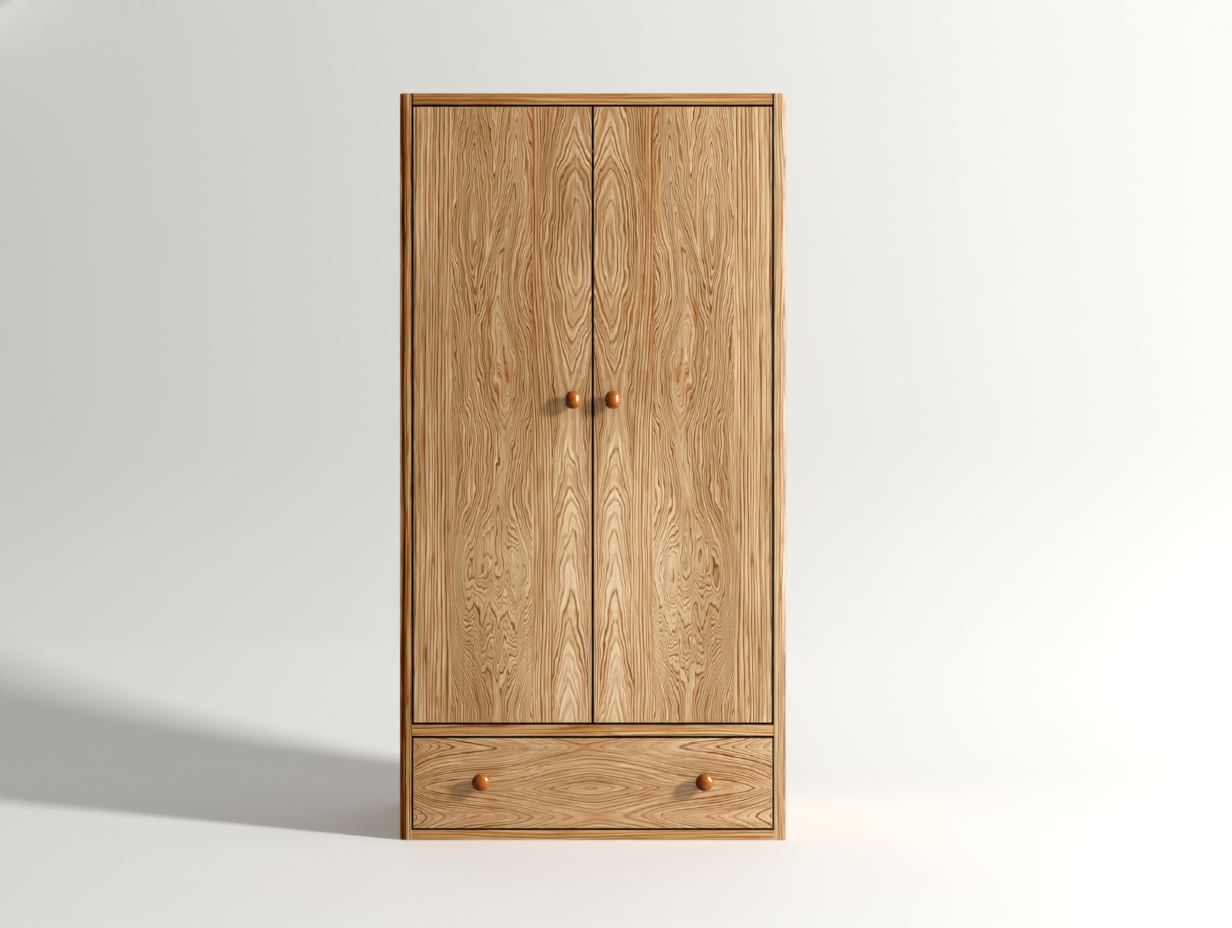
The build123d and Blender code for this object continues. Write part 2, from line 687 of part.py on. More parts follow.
def tails(sign):
    """The dovetails between one drawer side and the front, as solids."""
    pitch = DRAWER_SIDE_HEIGHT / TAIL_COUNT
    inner_x = sign * DRAWER_CLEAR_WIDTH / 2
    outward = sign * DRAWER_SIDE_THICKNESS
    heights = [DRAWER_SIDE_BOTTOM_Z + pitch * (place + 0.5) for place in range(TAIL_COUNT)]
    with BuildPart() as joint:
        with BuildSketch(Plane.YZ.offset(inner_x)):
            with Locations(*[(FRONTS_BACK_Y - TAIL_LENGTH / 2, z) for z in heights]):
                Trapezoid(TAIL_WIDTH, TAIL_LENGTH, TAIL_ANGLE, rotation=-90)
        extrude(amount=outward)
    return joint.part


def drawer_side(sign):
    """A drawer side with its tails, the runner's groove and the grooves of the bottom and back."""
    inner_x = DRAWER_CLEAR_WIDTH / 2
    outer_x = DRAWER_WIDTH / 2
    groove_x = inner_x + DRAWER_GROOVE_DEPTH
    with BuildPart() as board:
        mirrored_block(
            sign,
            (inner_x, FRONTS_BACK_Y, DRAWER_SIDE_BOTTOM_Z),
            (outer_x, DRAWER_BACK_Y, DRAWER_SIDE_TOP_Z),
        )
        add(tails(sign))
        mirrored_block(
            sign,
            (
                outer_x - RUNNER_ENGAGEMENT - RUNNER_TIP_PLAY,
                RUNNER_FRONT_Y - PANEL_PLAY,
                RUNNER_Z - RUNNER_HEIGHT / 2 - RUNNER_PLAY,
            ),
            (outer_x, DRAWER_BACK_Y, RUNNER_Z + RUNNER_HEIGHT / 2 + RUNNER_PLAY),
            Mode.SUBTRACT,
        )
        mirrored_block(
            sign,
            (inner_x, FRONTS_BACK_Y - TAIL_LENGTH, BOTTOM_PANEL_Z),
            (groove_x, DRAWER_BACK_Y, BOTTOM_PANEL_TOP_Z),
            Mode.SUBTRACT,
        )
        mirrored_block(
            sign,
            (inner_x, DRAWER_BACK_Y - DRAWER_BACK_THICKNESS, BOTTOM_PANEL_TOP_Z),
            (groove_x, DRAWER_BACK_Y, DRAWER_SIDE_TOP_Z),
            Mode.SUBTRACT,
        )
    return board


def stop_block(sign):
    """A block on the drawer back that meets the middle rail when the drawer is fully out."""
    middle_x = sign * STOP_SPACING / 2
    with BuildPart() as stop:
        block(
            (middle_x - STOP_WIDTH / 2, STOP_FRONT_Y, STOP_BOTTOM_Z),
            (middle_x + STOP_WIDTH / 2, STOP_BACK_Y, STOP_TOP_Z),
        )
        drill(STOP_SCREW_LENGTH, stop_screws(sign))
    return stop


os.makedirs("parts", exist_ok=True)

# Top board, rabbeted for the back panel and let in for the upper hinge leaves
with BuildPart() as top_board:
    block((-INNER_WIDTH / 2, FRONT_Y, TOP_UNDERSIDE), (INNER_WIDTH / 2, BACK_Y, HEIGHT))
    ease_front(top_board)
    block(
        (-INNER_WIDTH / 2, BACK_PANEL_Y, TOP_UNDERSIDE),
        (INNER_WIDTH / 2, BACK_Y, RABBET_TOP),
        Mode.SUBTRACT,
    )
    bore_dowels(TOP_DOWELS)
    drill(BACK_SCREW_LENGTH, BACK_TOP_SCREWS)
    for _, sign in HANDS:
        let_in_leaf(leaf_plane(sign, *FRAME_SEATS["top"]))
        drill(CATCH_SCREW_LENGTH, catch_screws(sign))
write(top_board, "top_board")

# Middle rail between the doors and the drawer, grooved behind for the wardrobe floor
TONGUE_Z = (FLOOR_UNDERSIDE + FLOOR_TOP - TONGUE_THICKNESS) / 2
with BuildPart() as middle_rail:
    block(
        (-INNER_WIDTH / 2, FRONT_Y, MIDDLE_RAIL_Z),
        (INNER_WIDTH / 2, MIDDLE_RAIL_BACK_Y, FLOOR_TOP),
    )
    ease_front(middle_rail)
    block(
        (-INNER_WIDTH / 2, MIDDLE_RAIL_BACK_Y - TONGUE_LENGTH - PANEL_PLAY, TONGUE_Z),
        (INNER_WIDTH / 2, MIDDLE_RAIL_BACK_Y, TONGUE_Z + TONGUE_THICKNESS),
        Mode.SUBTRACT,
    )
    bore_dowels(MIDDLE_DOWELS)
    for _, sign in HANDS:
        let_in_leaf(leaf_plane(sign, *FRAME_SEATS["bottom"]))
write(middle_rail, "middle_rail")

# Floor of the hanging space, tongued into the middle rail
FLOOR_HALF_WIDTH = INNER_WIDTH / 2 - PANEL_PLAY
with BuildPart() as wardrobe_floor:
    block(
        (-FLOOR_HALF_WIDTH, MIDDLE_RAIL_BACK_Y, FLOOR_UNDERSIDE),
        (FLOOR_HALF_WIDTH, BACK_PANEL_Y, FLOOR_TOP),
    )
    block(
        (-FLOOR_HALF_WIDTH, MIDDLE_RAIL_BACK_Y - TONGUE_LENGTH, TONGUE_Z),
        (FLOOR_HALF_WIDTH, MIDDLE_RAIL_BACK_Y, TONGUE_Z + TONGUE_THICKNESS),
    )
    drill(BACK_SCREW_LENGTH, BACK_FLOOR_SCREWS)
write(wardrobe_floor, "wardrobe_floor")

# Bottom rail at the front and its partner at the back, grooved for the base panel
BASE_TOP = BASE_RISE + BASE_THICKNESS
with BuildPart() as bottom_rail:
    block((-INNER_WIDTH / 2, FRONT_Y, 0), (INNER_WIDTH / 2, BOTTOM_RAIL_BACK_Y, BOTTOM_RAIL_HEIGHT))
    ease_front(bottom_rail)
    block(
        (-INNER_WIDTH / 2, BOTTOM_RAIL_BACK_Y - BASE_GROOVE_DEPTH, BASE_RISE),
        (INNER_WIDTH / 2, BOTTOM_RAIL_BACK_Y, BASE_TOP),
        Mode.SUBTRACT,
    )
    bore_dowels(BOTTOM_DOWELS)
write(bottom_rail, "bottom_rail")

with BuildPart() as rear_bottom_rail:
    block((-INNER_WIDTH / 2, REAR_RAIL_FRONT_Y, 0), (INNER_WIDTH / 2, BACK_PANEL_Y, BOTTOM_RAIL_HEIGHT))
    block(
        (-INNER_WIDTH / 2, REAR_RAIL_FRONT_Y, BASE_RISE),
        (INNER_WIDTH / 2, REAR_RAIL_FRONT_Y + BASE_GROOVE_DEPTH, BASE_TOP),
        Mode.SUBTRACT,
    )
    bore_dowels(REAR_DOWELS)
    drill(BACK_SCREW_LENGTH, BACK_REAR_SCREWS)
write(rear_bottom_rail, "rear_bottom_rail")

# Base panel under the drawer
with BuildPart() as base_panel:
    block(
        (-FLOOR_HALF_WIDTH, BOTTOM_RAIL_BACK_Y - BASE_GROOVE_DEPTH + PANEL_PLAY, BASE_RISE),
        (FLOOR_HALF_WIDTH, REAR_RAIL_FRONT_Y + BASE_GROOVE_DEPTH - PANEL_PLAY, BASE_TOP),
    )
write(base_panel, "base_panel")

# Rail under the top, with two holes for the wall screws
WALL_HOLES = [
    facing((x, BACK_PANEL_Y, FIXING_RAIL_MIDDLE_Z), (0, 1, 0))
    for x in (-WALL_HOLE_SPACING / 2, WALL_HOLE_SPACING / 2)
]
with BuildPart() as wall_fixing_rail:
    block(
        (-INNER_WIDTH / 2, FIXING_RAIL_FRONT_Y, TOP_UNDERSIDE - FIXING_RAIL_HEIGHT),
        (INNER_WIDTH / 2, BACK_PANEL_Y, TOP_UNDERSIDE),
    )
    bore_dowels(FIXING_DOWELS)
    with Locations(*WALL_HOLES):
        Hole(WALL_HOLE_RADIUS)
write(wall_fixing_rail, "wall_fixing_rail")

# Back panel in the rabbets, bored for the same wall screws
BACK_HALF_WIDTH = INNER_WIDTH / 2 + RABBET_WIDTH - PANEL_PLAY
with BuildPart() as back_panel:
    block(
        (-BACK_HALF_WIDTH, BACK_PANEL_Y, BACK_FLOOR_GAP),
        (BACK_HALF_WIDTH, BACK_Y, RABBET_TOP - PANEL_PLAY),
    )
    for _, sign in HANDS:
        drill(BACK_SCREW_LENGTH, back_row(sign))
    drill(BACK_SCREW_LENGTH, BACK_TOP_SCREWS + BACK_FLOOR_SCREWS + BACK_REAR_SCREWS)
    with Locations(*WALL_HOLES):
        Hole(WALL_HOLE_RADIUS)
write(back_panel, "back_panel")

# Clothes rail
RAIL_LENGTH = INNER_WIDTH - 2 * (SOCKET_BASE + RAIL_END_PLAY)
with BuildPart() as clothes_rail:
    with BuildSketch(Plane(origin=(-RAIL_LENGTH / 2, RAIL_Y, RAIL_Z), z_dir=(1, 0, 0))):
        Circle(RAIL_RADIUS)
        Circle(RAIL_RADIUS - RAIL_WALL, mode=Mode.SUBTRACT)
    extrude(amount=RAIL_LENGTH)
write(clothes_rail, "clothes_rail")

# Dowels of the frame, with chamfered ends
with BuildPart() as dowel:
    Cylinder(DOWEL_RADIUS, DOWEL_LENGTH)
    chamfer(dowel.edges().filter_by(GeomType.CIRCLE), DOWEL_CHAMFER)
with BuildPart() as carcass_dowels:
    with Locations(*dowel_places(ALL_DOWELS)):
        add(dowel.part)
write(carcass_dowels, "carcass_dowels")

# Bushes on the hinge pins, between the leaves
with BuildPart() as hinge_bushes:
    for _, sign in HANDS:
        for z, up in DOOR_SEATS.values():
            with BuildSketch(leaf_plane(sign, z, up).offset(LEAF_PROUD + BUSH_PLAY / 2)):
                Circle(BUSH_RADIUS)
                Circle(PIN_RADIUS + PIN_FIT, mode=Mode.SUBTRACT)
            extrude(amount=LEAF_GAP - BUSH_PLAY)
write(hinge_bushes, "hinge_bushes")

# The pieces that come in a left and a right hand
for hand, sign in HANDS:
    write(side_board(sign), f"{hand}_side")
    write(floor_cleat(sign), f"{hand}_floor_cleat")
    write(drawer_runner(sign), f"{hand}_drawer_runner")
    write(rail_socket(sign), f"{hand}_rail_socket")
    write(catch(sign), f"{hand}_catch")
    write(door(sign), f"{hand}_door")
    write(strike_plate(sign), f"{hand}_strike_plate")
    write(knob(DOOR_KNOB_WIDTH, door_knob_seat(sign)), f"{hand}_door_knob")
    write(knob_screws([door_knob_seat(sign)]), f"{hand}_door_knob_screw")
    write(drawer_side(sign), f"{hand}_drawer_side")
    write(knob(KNOB_DIAMETER, drawer_knob_seat(sign)), f"{hand}_drawer_knob")
    write(stop_block(sign), f"{hand}_stop_block")
    write_screws(f"{hand}_strike_screws", STRIKE_SCREW_LENGTH, strike_screws(sign))
    door_leaf_places = []
    for end in DOOR_SEATS:
        write(frame_leaf(sign, end), f"{hand}_{end}_frame_leaf")
        write(door_leaf(sign, end), f"{hand}_{end}_door_leaf")
        door_leaf_places += leaf_screws(leaf_plane(sign, *DOOR_SEATS[end]))
    write_screws(f"{hand}_door_leaf_screws", LEAF_SCREW_LENGTH, door_leaf_places)

# Drawer front, cut for the tails of both sides and grooved for the bottom
with BuildPart() as drawer_front:
    block(
        (-DRAWER_WIDTH / 2, FRONT_Y, DRAWER_BOTTOM_Z),
        (DRAWER_WIDTH / 2, FRONTS_BACK_Y, DRAWER_TOP_Z),
    )
    fillet(drawer_front.edges().filter_by(Axis.Y, reverse=True), ARRIS)
    for _, sign in HANDS:
        add(tails(sign), mode=Mode.SUBTRACT)
    block(
        (-BOTTOM_PANEL_WIDTH / 2 - PANEL_PLAY, FRONTS_BACK_Y - DRAWER_GROOVE_DEPTH, BOTTOM_PANEL_Z),
        (BOTTOM_PANEL_WIDTH / 2 + PANEL_PLAY, FRONTS_BACK_Y, BOTTOM_PANEL_TOP_Z),
        Mode.SUBTRACT,
    )
    bore_knob_screws([drawer_knob_seat(sign) for _, sign in HANDS])
write(drawer_front, "drawer_front")

# Drawer back, housed in the sides above the bottom panel
BACK_BOARD_HALF_WIDTH = DRAWER_CLEAR_WIDTH / 2 + DRAWER_GROOVE_DEPTH
with BuildPart() as drawer_back:
    block(
        (-BACK_BOARD_HALF_WIDTH, DRAWER_BACK_Y - DRAWER_BACK_THICKNESS, BOTTOM_PANEL_TOP_Z),
        (BACK_BOARD_HALF_WIDTH, DRAWER_BACK_Y, DRAWER_SIDE_TOP_Z),
    )
    drill(BOTTOM_SCREW_LENGTH, BOTTOM_SCREWS)
    for _, sign in HANDS:
        drill(STOP_SCREW_LENGTH, stop_screws(sign))
write(drawer_back, "drawer_back")

# Drawer bottom, slid in under the back
with BuildPart() as drawer_bottom:
    block(
        (-BOTTOM_PANEL_WIDTH / 2, BOTTOM_PANEL_FRONT_Y, BOTTOM_PANEL_Z),
        (BOTTOM_PANEL_WIDTH / 2, DRAWER_BACK_Y, BOTTOM_PANEL_TOP_Z),
    )
    drill(BOTTOM_SCREW_LENGTH, BOTTOM_SCREWS)
write(drawer_bottom, "drawer_bottom")

write(knob_screws([drawer_knob_seat(sign) for _, sign in HANDS]), "drawer_knob_screws")


def both(places):
    """The places of one kind on both hands."""
    return [place for _, sign in HANDS for place in places(sign)]


def frame_leaf_screws(sign):
    """Screws of the two frame leaves on one hand."""
    return [place for seat in FRAME_SEATS.values() for place in leaf_screws(leaf_plane(sign, *seat))]


write_screws("frame_leaf_screws", LEAF_SCREW_LENGTH, both(frame_leaf_screws))
write_screws("rail_socket_screws", SOCKET_SCREW_LENGTH, both(socket_screws))
write_screws("runner_screws", RUNNER_SCREW_LENGTH, both(runner_screws))
write_screws("cleat_screws", CLEAT_SCREW_LENGTH, both(cleat_screws))
write_screws("catch_screws", CATCH_SCREW_LENGTH, both(catch_screws))
write_screws("stop_block_screws", STOP_SCREW_LENGTH, both(stop_screws))
write_screws("drawer_bottom_screws", BOTTOM_SCREW_LENGTH, BOTTOM_SCREWS)
write_screws(
    "back_panel_screws",
    BACK_SCREW_LENGTH,
    both(back_row) + BACK_TOP_SCREWS + BACK_FLOOR_SCREWS + BACK_REAR_SCREWS,
)

print(f"hinge pins at x {PIVOT_X:.3f}, y {PIVOT_Y:.3f}, drawer travel {DRAWER_TRAVEL:.3f}")
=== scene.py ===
import json
import logging
import math
from dataclasses import dataclass, field, replace
from enum import Enum
from functools import reduce

import bmesh
import bpy
from mathutils import Matrix, Vector

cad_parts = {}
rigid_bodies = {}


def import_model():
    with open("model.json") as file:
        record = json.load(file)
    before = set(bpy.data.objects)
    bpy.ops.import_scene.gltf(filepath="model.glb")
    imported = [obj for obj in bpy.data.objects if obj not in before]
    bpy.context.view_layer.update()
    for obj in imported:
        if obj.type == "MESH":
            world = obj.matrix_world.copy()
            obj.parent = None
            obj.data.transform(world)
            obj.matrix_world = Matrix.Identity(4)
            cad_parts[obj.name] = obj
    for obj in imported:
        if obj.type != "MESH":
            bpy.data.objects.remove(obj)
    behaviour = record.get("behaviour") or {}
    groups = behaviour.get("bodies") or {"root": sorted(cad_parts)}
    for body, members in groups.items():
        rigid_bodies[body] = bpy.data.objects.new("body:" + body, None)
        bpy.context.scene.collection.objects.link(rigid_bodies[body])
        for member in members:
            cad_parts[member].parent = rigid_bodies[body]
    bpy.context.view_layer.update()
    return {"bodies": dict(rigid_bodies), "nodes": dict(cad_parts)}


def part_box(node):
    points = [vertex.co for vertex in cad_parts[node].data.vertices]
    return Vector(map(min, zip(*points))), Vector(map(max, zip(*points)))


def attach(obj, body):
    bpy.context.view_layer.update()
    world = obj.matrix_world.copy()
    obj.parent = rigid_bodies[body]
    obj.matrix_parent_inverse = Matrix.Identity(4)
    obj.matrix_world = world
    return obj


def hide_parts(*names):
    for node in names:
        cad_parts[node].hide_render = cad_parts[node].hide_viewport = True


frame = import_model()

LOG = logging.getLogger("armoire")

Socket = bpy.types.NodeSocket
Tree = bpy.types.NodeTree
Material = bpy.types.Material
Pair = tuple[float, float]
Triple = tuple[float, float, float]
Curve = tuple[Pair, ...]
Fed = float | Triple | Vector | Socket | None


# Node trees

# The Mix node's inputs between its share and its colours or numbers
UNUSED_BY_COLOURS = (None,) * 5
UNUSED_BY_NUMBERS = (None,)


@dataclass(frozen=True)
class Wave:
    """Noise that is stretched to its own density, in waves per metre or per ring along each axis.

    Its reach is how far it swings either way, and its layers are finer noises of the given strength.
    """

    density: Triple
    reach: float = 1.0
    seed: float = 0.0
    layers: float = 1.0
    strength: float = 0.5


@dataclass(frozen=True)
class Ramp:
    """A soft step: where it starts and ends, and its heights there."""

    low: Fed
    high: Fed
    start: float = 0.0
    end: float = 1.0


class Pad:
    """One node tree and short calls that place nodes in it and join them."""

    def __init__(self, tree: Tree) -> None:
        """Keep the tree that the calls fill."""
        self.tree = tree

    def add(self, kind: str, *values: Fed, **settings: object) -> bpy.types.Node:
        """Place a node.

        Args:
            kind: The node's type name.
            values: What its first inputs are fed, in order. None leaves an input as it is.
            settings: Properties set on the node.

        Returns:
            The new node.
        """
        node = self.tree.nodes.new(kind)
        for name, setting in settings.items():
            setattr(node, name, setting)
        for socket, value in zip(node.inputs, values):
            self.feed(socket, value)
        return node

    def feed(self, socket: Socket, value: Fed) -> None:
        """Link a socket to another, or set it to a constant.

        Args:
            socket: The input to feed.
            value: A socket, a number, a vector or a colour. None changes nothing.
        """
        if isinstance(value, Socket):
            self.tree.links.new(value, socket)
        elif value is not None:
            socket.default_value = (*value, 1.0) if socket.type == "RGBA" else value

    def math(self, operation: str, *values: Fed, clamp: bool = False) -> Socket:
        """Join numbers by one operation of the Math node."""
        return self.add("ShaderNodeMath", *values, operation=operation, use_clamp=clamp).outputs[0]

    def plus(self, *values: Fed) -> Socket:
        """Add numbers up."""
        return reduce(lambda total, value: self.math("ADD", total, value), values)

    def minus(self, first: Fed, second: Fed) -> Socket:
        """Take the second number from the first."""
        return self.math("SUBTRACT", first, second)

    def times(self, *values: Fed) -> Socket:
        """Multiply numbers."""
        return reduce(lambda product, value: self.math("MULTIPLY", product, value), values)

    def most(self, *values: Fed) -> Socket:
        """The greatest of some numbers."""
        return reduce(lambda greatest, value: self.math("MAXIMUM", greatest, value), values)

    def least(self, *values: Fed) -> Socket:
        """The least of some numbers."""
        return reduce(lambda lowest, value: self.math("MINIMUM", lowest, value), values)

    def affine(self, value: Fed, factor: Fed, shift: Fed = 0.0) -> Socket:
        """Scale a number and shift it, as value * factor + shift."""
        return self.math("MULTIPLY_ADD", value, factor, shift)

    def vector(self, operation: str, *values: Fed, gives: str = "Vector") -> Socket:
        """Join vectors by one operation of the Vector Math node, which gives a Vector or a Value."""
        return self.add("ShaderNodeVectorMath", *values, operation=operation).outputs[gives]

    def length(self, x: Fed, y: Fed) -> Socket:
        """The length of a flat vector."""
        return self.vector("LENGTH", self.join(x, y, 0.0), gives="Value")

    def split(self, vector: Socket) -> list[Socket]:
        """The three parts of a vector."""
        return self.add("ShaderNodeSeparateXYZ", vector).outputs[:]

    def join(self, x: Fed, y: Fed, z: Fed) -> Socket:
        """A vector from its three parts."""
        return self.add("ShaderNodeCombineXYZ", x, y, z).outputs[0]

    def noise(self, place: Socket, wave: Wave, seed: Fed = 0.0) -> Socket:
        """Read soft noise.

        Args:
            place: Where the noise is read.
            wave: Which noise it is.
            seed: A number that is added to the wave's own seed.

        Returns:
            A number about 0.5, from 0 to 1.
        """
        spot = self.vector("MULTIPLY", place, wave.density)
        inputs = (spot, self.plus(seed, wave.seed), 1.0, wave.layers, wave.strength)
        return self.add("ShaderNodeTexNoise", *inputs, noise_dimensions="4D").outputs[0]

    def swing(self, noise: Socket, reach: Fed) -> Socket:
        """Noise about 0.5 turned into a number from -reach to reach."""
        return self.times(self.affine(noise, 2.0, -1.0), reach)

    def sway(self, place: Socket, wave: Wave, seed: Fed = 0.0) -> Socket:
        """Noise that swings as far as its wave's own reach."""
        return self.swing(self.noise(place, wave, seed), wave.reach)

    def ease(self, value: Fed, ramp: Ramp) -> Socket:
        """The height of a soft step at a value."""
        inputs = (value, ramp.low, ramp.high, ramp.start, ramp.end)
        return self.add("ShaderNodeMapRange", *inputs, interpolation_type="SMOOTHSTEP").outputs[0]

    def blend(self, share: Fed, first: Fed, second: Fed) -> Socket:
        """Mix two colours by a share."""
        values = (share, *UNUSED_BY_COLOURS, first, second)
        return self.add("ShaderNodeMix", *values, data_type="RGBA").outputs[2]

    def choose(self, share: Fed, first: Fed, second: Fed) -> Socket:
        """Mix two numbers by a share."""
        values = (share, *UNUSED_BY_NUMBERS, first, second)
        return self.add("ShaderNodeMix", *values, data_type="FLOAT").outputs[0]

    def tint(self, red: Socket, green_power: Fed, blue_power: Fed) -> Socket:
        """A colour whose green and blue are powers of its red."""
        green, blue = (self.math("POWER", red, power) for power in (green_power, blue_power))
        return self.join(red, green, blue)

    def curve(self, value: Socket, points: Curve, low: float = 0.0, high: float = 1.0) -> Socket:
        """Read a number off a smooth curve through given points.

        Args:
            value: Where the curve is read, from 0 to 1.
            points: The curve's points: places from 0 to 1, heights from low to high.
            low: The lowest height.
            high: The highest height.

        Returns:
            The curve's height there.
        """
        node = self.add("ShaderNodeFloatCurve")
        drawn = node.mapping.curves[0].points
        first, *between, last = ((x, (height - low) / (high - low)) for x, height in points)
        drawn[0].location = first
        drawn[1].location = last
        for point in between:
            drawn.new(*point)
        node.mapping.update()
        self.feed(node.inputs["Value"], value)
        return self.affine(node.outputs[0], high - low, low)

    def soft_distance(self, offset: Socket, rounding: float) -> Socket:
        """The distance from a line, rounded off near it."""
        return self.math("SQRT", self.affine(offset, offset, rounding**2))


class Port(Enum):
    """What an input or output of a node group carries."""

    NUMBER = "NodeSocketFloat"
    VECTOR = "NodeSocketVector"
    COLOUR = "NodeSocketColor"


Ports = dict[Port, tuple[str, ...]]
PLACE_PORT: Ports = {Port.VECTOR: ("Place",)}
BOX_PORTS: Ports = {Port.VECTOR: ("Place", "Low", "High")}
FIGURE_PORTS: Ports = {Port.NUMBER: ("Rings", "Tone", "Lines", "Sharpness", "Stain")}
SURFACE_PORTS: Ports = {Port.COLOUR: ("Colour",), Port.NUMBER: ("Roughness", "Height")}


class Group(Pad):
    """A shader node group in the making."""

    def __init__(self, name: str, takes: Ports, gives: Ports) -> None:
        """Start the group.

        Args:
            name: The group's name.
            takes: The names of its inputs, by what they carry.
            gives: The names of its outputs, by what they carry.
        """
        super().__init__(bpy.data.node_groups.new(name, "ShaderNodeTree"))
        for way, ports in (("INPUT", takes), ("OUTPUT", gives)):
            for kind, names in ports.items():
                for port in names:
                    self.tree.interface.new_socket(port, in_out=way, socket_type=kind.value)
        self.given = self.add("NodeGroupInput").outputs
        self.asked = self.add("NodeGroupOutput").inputs

    def done(self, **results: Fed) -> Tree:
        """Feed the outputs.

        Args:
            results: What each output gives, by its name.

        Returns:
            The finished group.
        """
        for name, value in results.items():
            self.feed(self.asked[name], value)
        return self.tree


class Dressing(Pad):
    """One material in the making: its node tree, its shader and the place on the armoire."""

    def __init__(self, name: str) -> None:
        """Start the material.

        Args:
            name: The material's name.
        """
        self.material = bpy.data.materials.new(name)
        self.material.use_nodes = True
        super().__init__(self.material.node_tree)
        self.shader = self.tree.nodes["Principled BSDF"]
        self.place = self.add("ShaderNodeTexCoord").outputs["Object"]

    def use(self, effect: Tree, **inputs: Fed) -> bpy.types.bpy_prop_collection:
        """Place a shared effect.

        Args:
            effect: The effect's node group.
            inputs: Values for its inputs, by name with underscores for spaces.

        Returns:
            Its outputs by name.
        """
        node = self.add("ShaderNodeGroup", node_tree=effect)
        for name, value in inputs.items():
            self.feed(node.inputs[name.replace("_", " ")], value)
        return node.outputs

    def shade(self, **inputs: Fed) -> None:
        """Feed the shader's inputs, by name with underscores for spaces."""
        for name, value in inputs.items():
            self.feed(self.shader.inputs[name.replace("_", " ")], value)

    def emboss(self, height: Socket, strength: float, depth: float) -> None:
        """Roughen the surface by a bump.

        Args:
            height: The height at each place, from 0 to 1.
            strength: How much of the bump shows.
            depth: How deep it is, in metres.
        """
        bump = self.add("ShaderNodeBump")
        for name, value in (("Strength", strength), ("Distance", depth), ("Height", height)):
            self.feed(bump.inputs[name], value)
        self.shade(Normal=bump.outputs[0])


# Shared effects

RING_MIDDLE = 0.5
# How far behind the front of the opening the painted gap shade reaches.
GAP_SHADE_DEPTH = 0.014


@dataclass(frozen=True)
class LogRings:
    """Year rings of a log that wanders along a board, counted from its heart."""

    sway: Wave = Wave((0.0, 0.0, 1.7), layers=2.0)
    drift: Wave = Wave((0.0, 0.0, 1.1), seed=7.3)
    ripple: Wave = Wave((22.0, 22.0, 3.2), layers=2.0)

    def group(self) -> Tree:
        """Build the node group.

        Returns:
            The group.
        """
        numbers = ("Ring Width", "Wander", "Ripple", "Seed")
        takes = {Port.VECTOR: ("Board", "Heart"), Port.NUMBER: numbers}
        pad = Group("log_rings", takes, {Port.NUMBER: ("Rings",)})
        board = pad.given["Board"]
        ring_width, wander, ripple, seed = (pad.given[name] for name in numbers)
        across, depth, _ = pad.split(pad.vector("SUBTRACT", board, pad.given["Heart"]))
        across = pad.plus(across, pad.swing(pad.noise(board, self.drift, seed), wander))
        depth = pad.plus(depth, pad.swing(pad.noise(board, self.sway, seed), wander))
        rings = pad.math("DIVIDE", pad.length(across, depth), ring_width)
        return pad.done(Rings=pad.plus(rings, pad.swing(pad.noise(board, self.ripple, seed), ripple)))


@dataclass(frozen=True)
class Patch:
    """A soft oval on a board, by its middle and half size, across and along, and the fade of its edge."""

    middle: Pair
    size: Pair
    fade: Ramp = Ramp(0.35, 1.15, 1.0, 0.0)

    def mask(self, pad: Pad, across: Socket, along: Socket) -> Socket:
        """Mask the oval.

        Args:
            pad: The pad of the group that uses it.
            across: The place across the board.
            along: The place along the board.

        Returns:
            A mask from 0 outside to 1 in the middle.
        """
        aside, ahead = (
            pad.affine(place, 1.0 / half, -middle / half)
            for place, middle, half in zip((across, along), self.middle, self.size)
        )
        return pad.ease(pad.length(aside, ahead), self.fade)


@dataclass(frozen=True)
class DoorSpot:
    """A place on the doors, as the parts of their figure read it.

    The figure is mirrored: beside is the distance from the gap between the doors, and flat is the place
    with it. Swayed is that distance with the boards' warp, and across has their shiver too. Share is the
    share of the doors' height.
    """

    pad: Pad
    place: Socket
    flat: Socket
    beside: Socket
    shiver: Socket
    swayed: Socket
    across: Socket
    height: Socket
    share: Socket


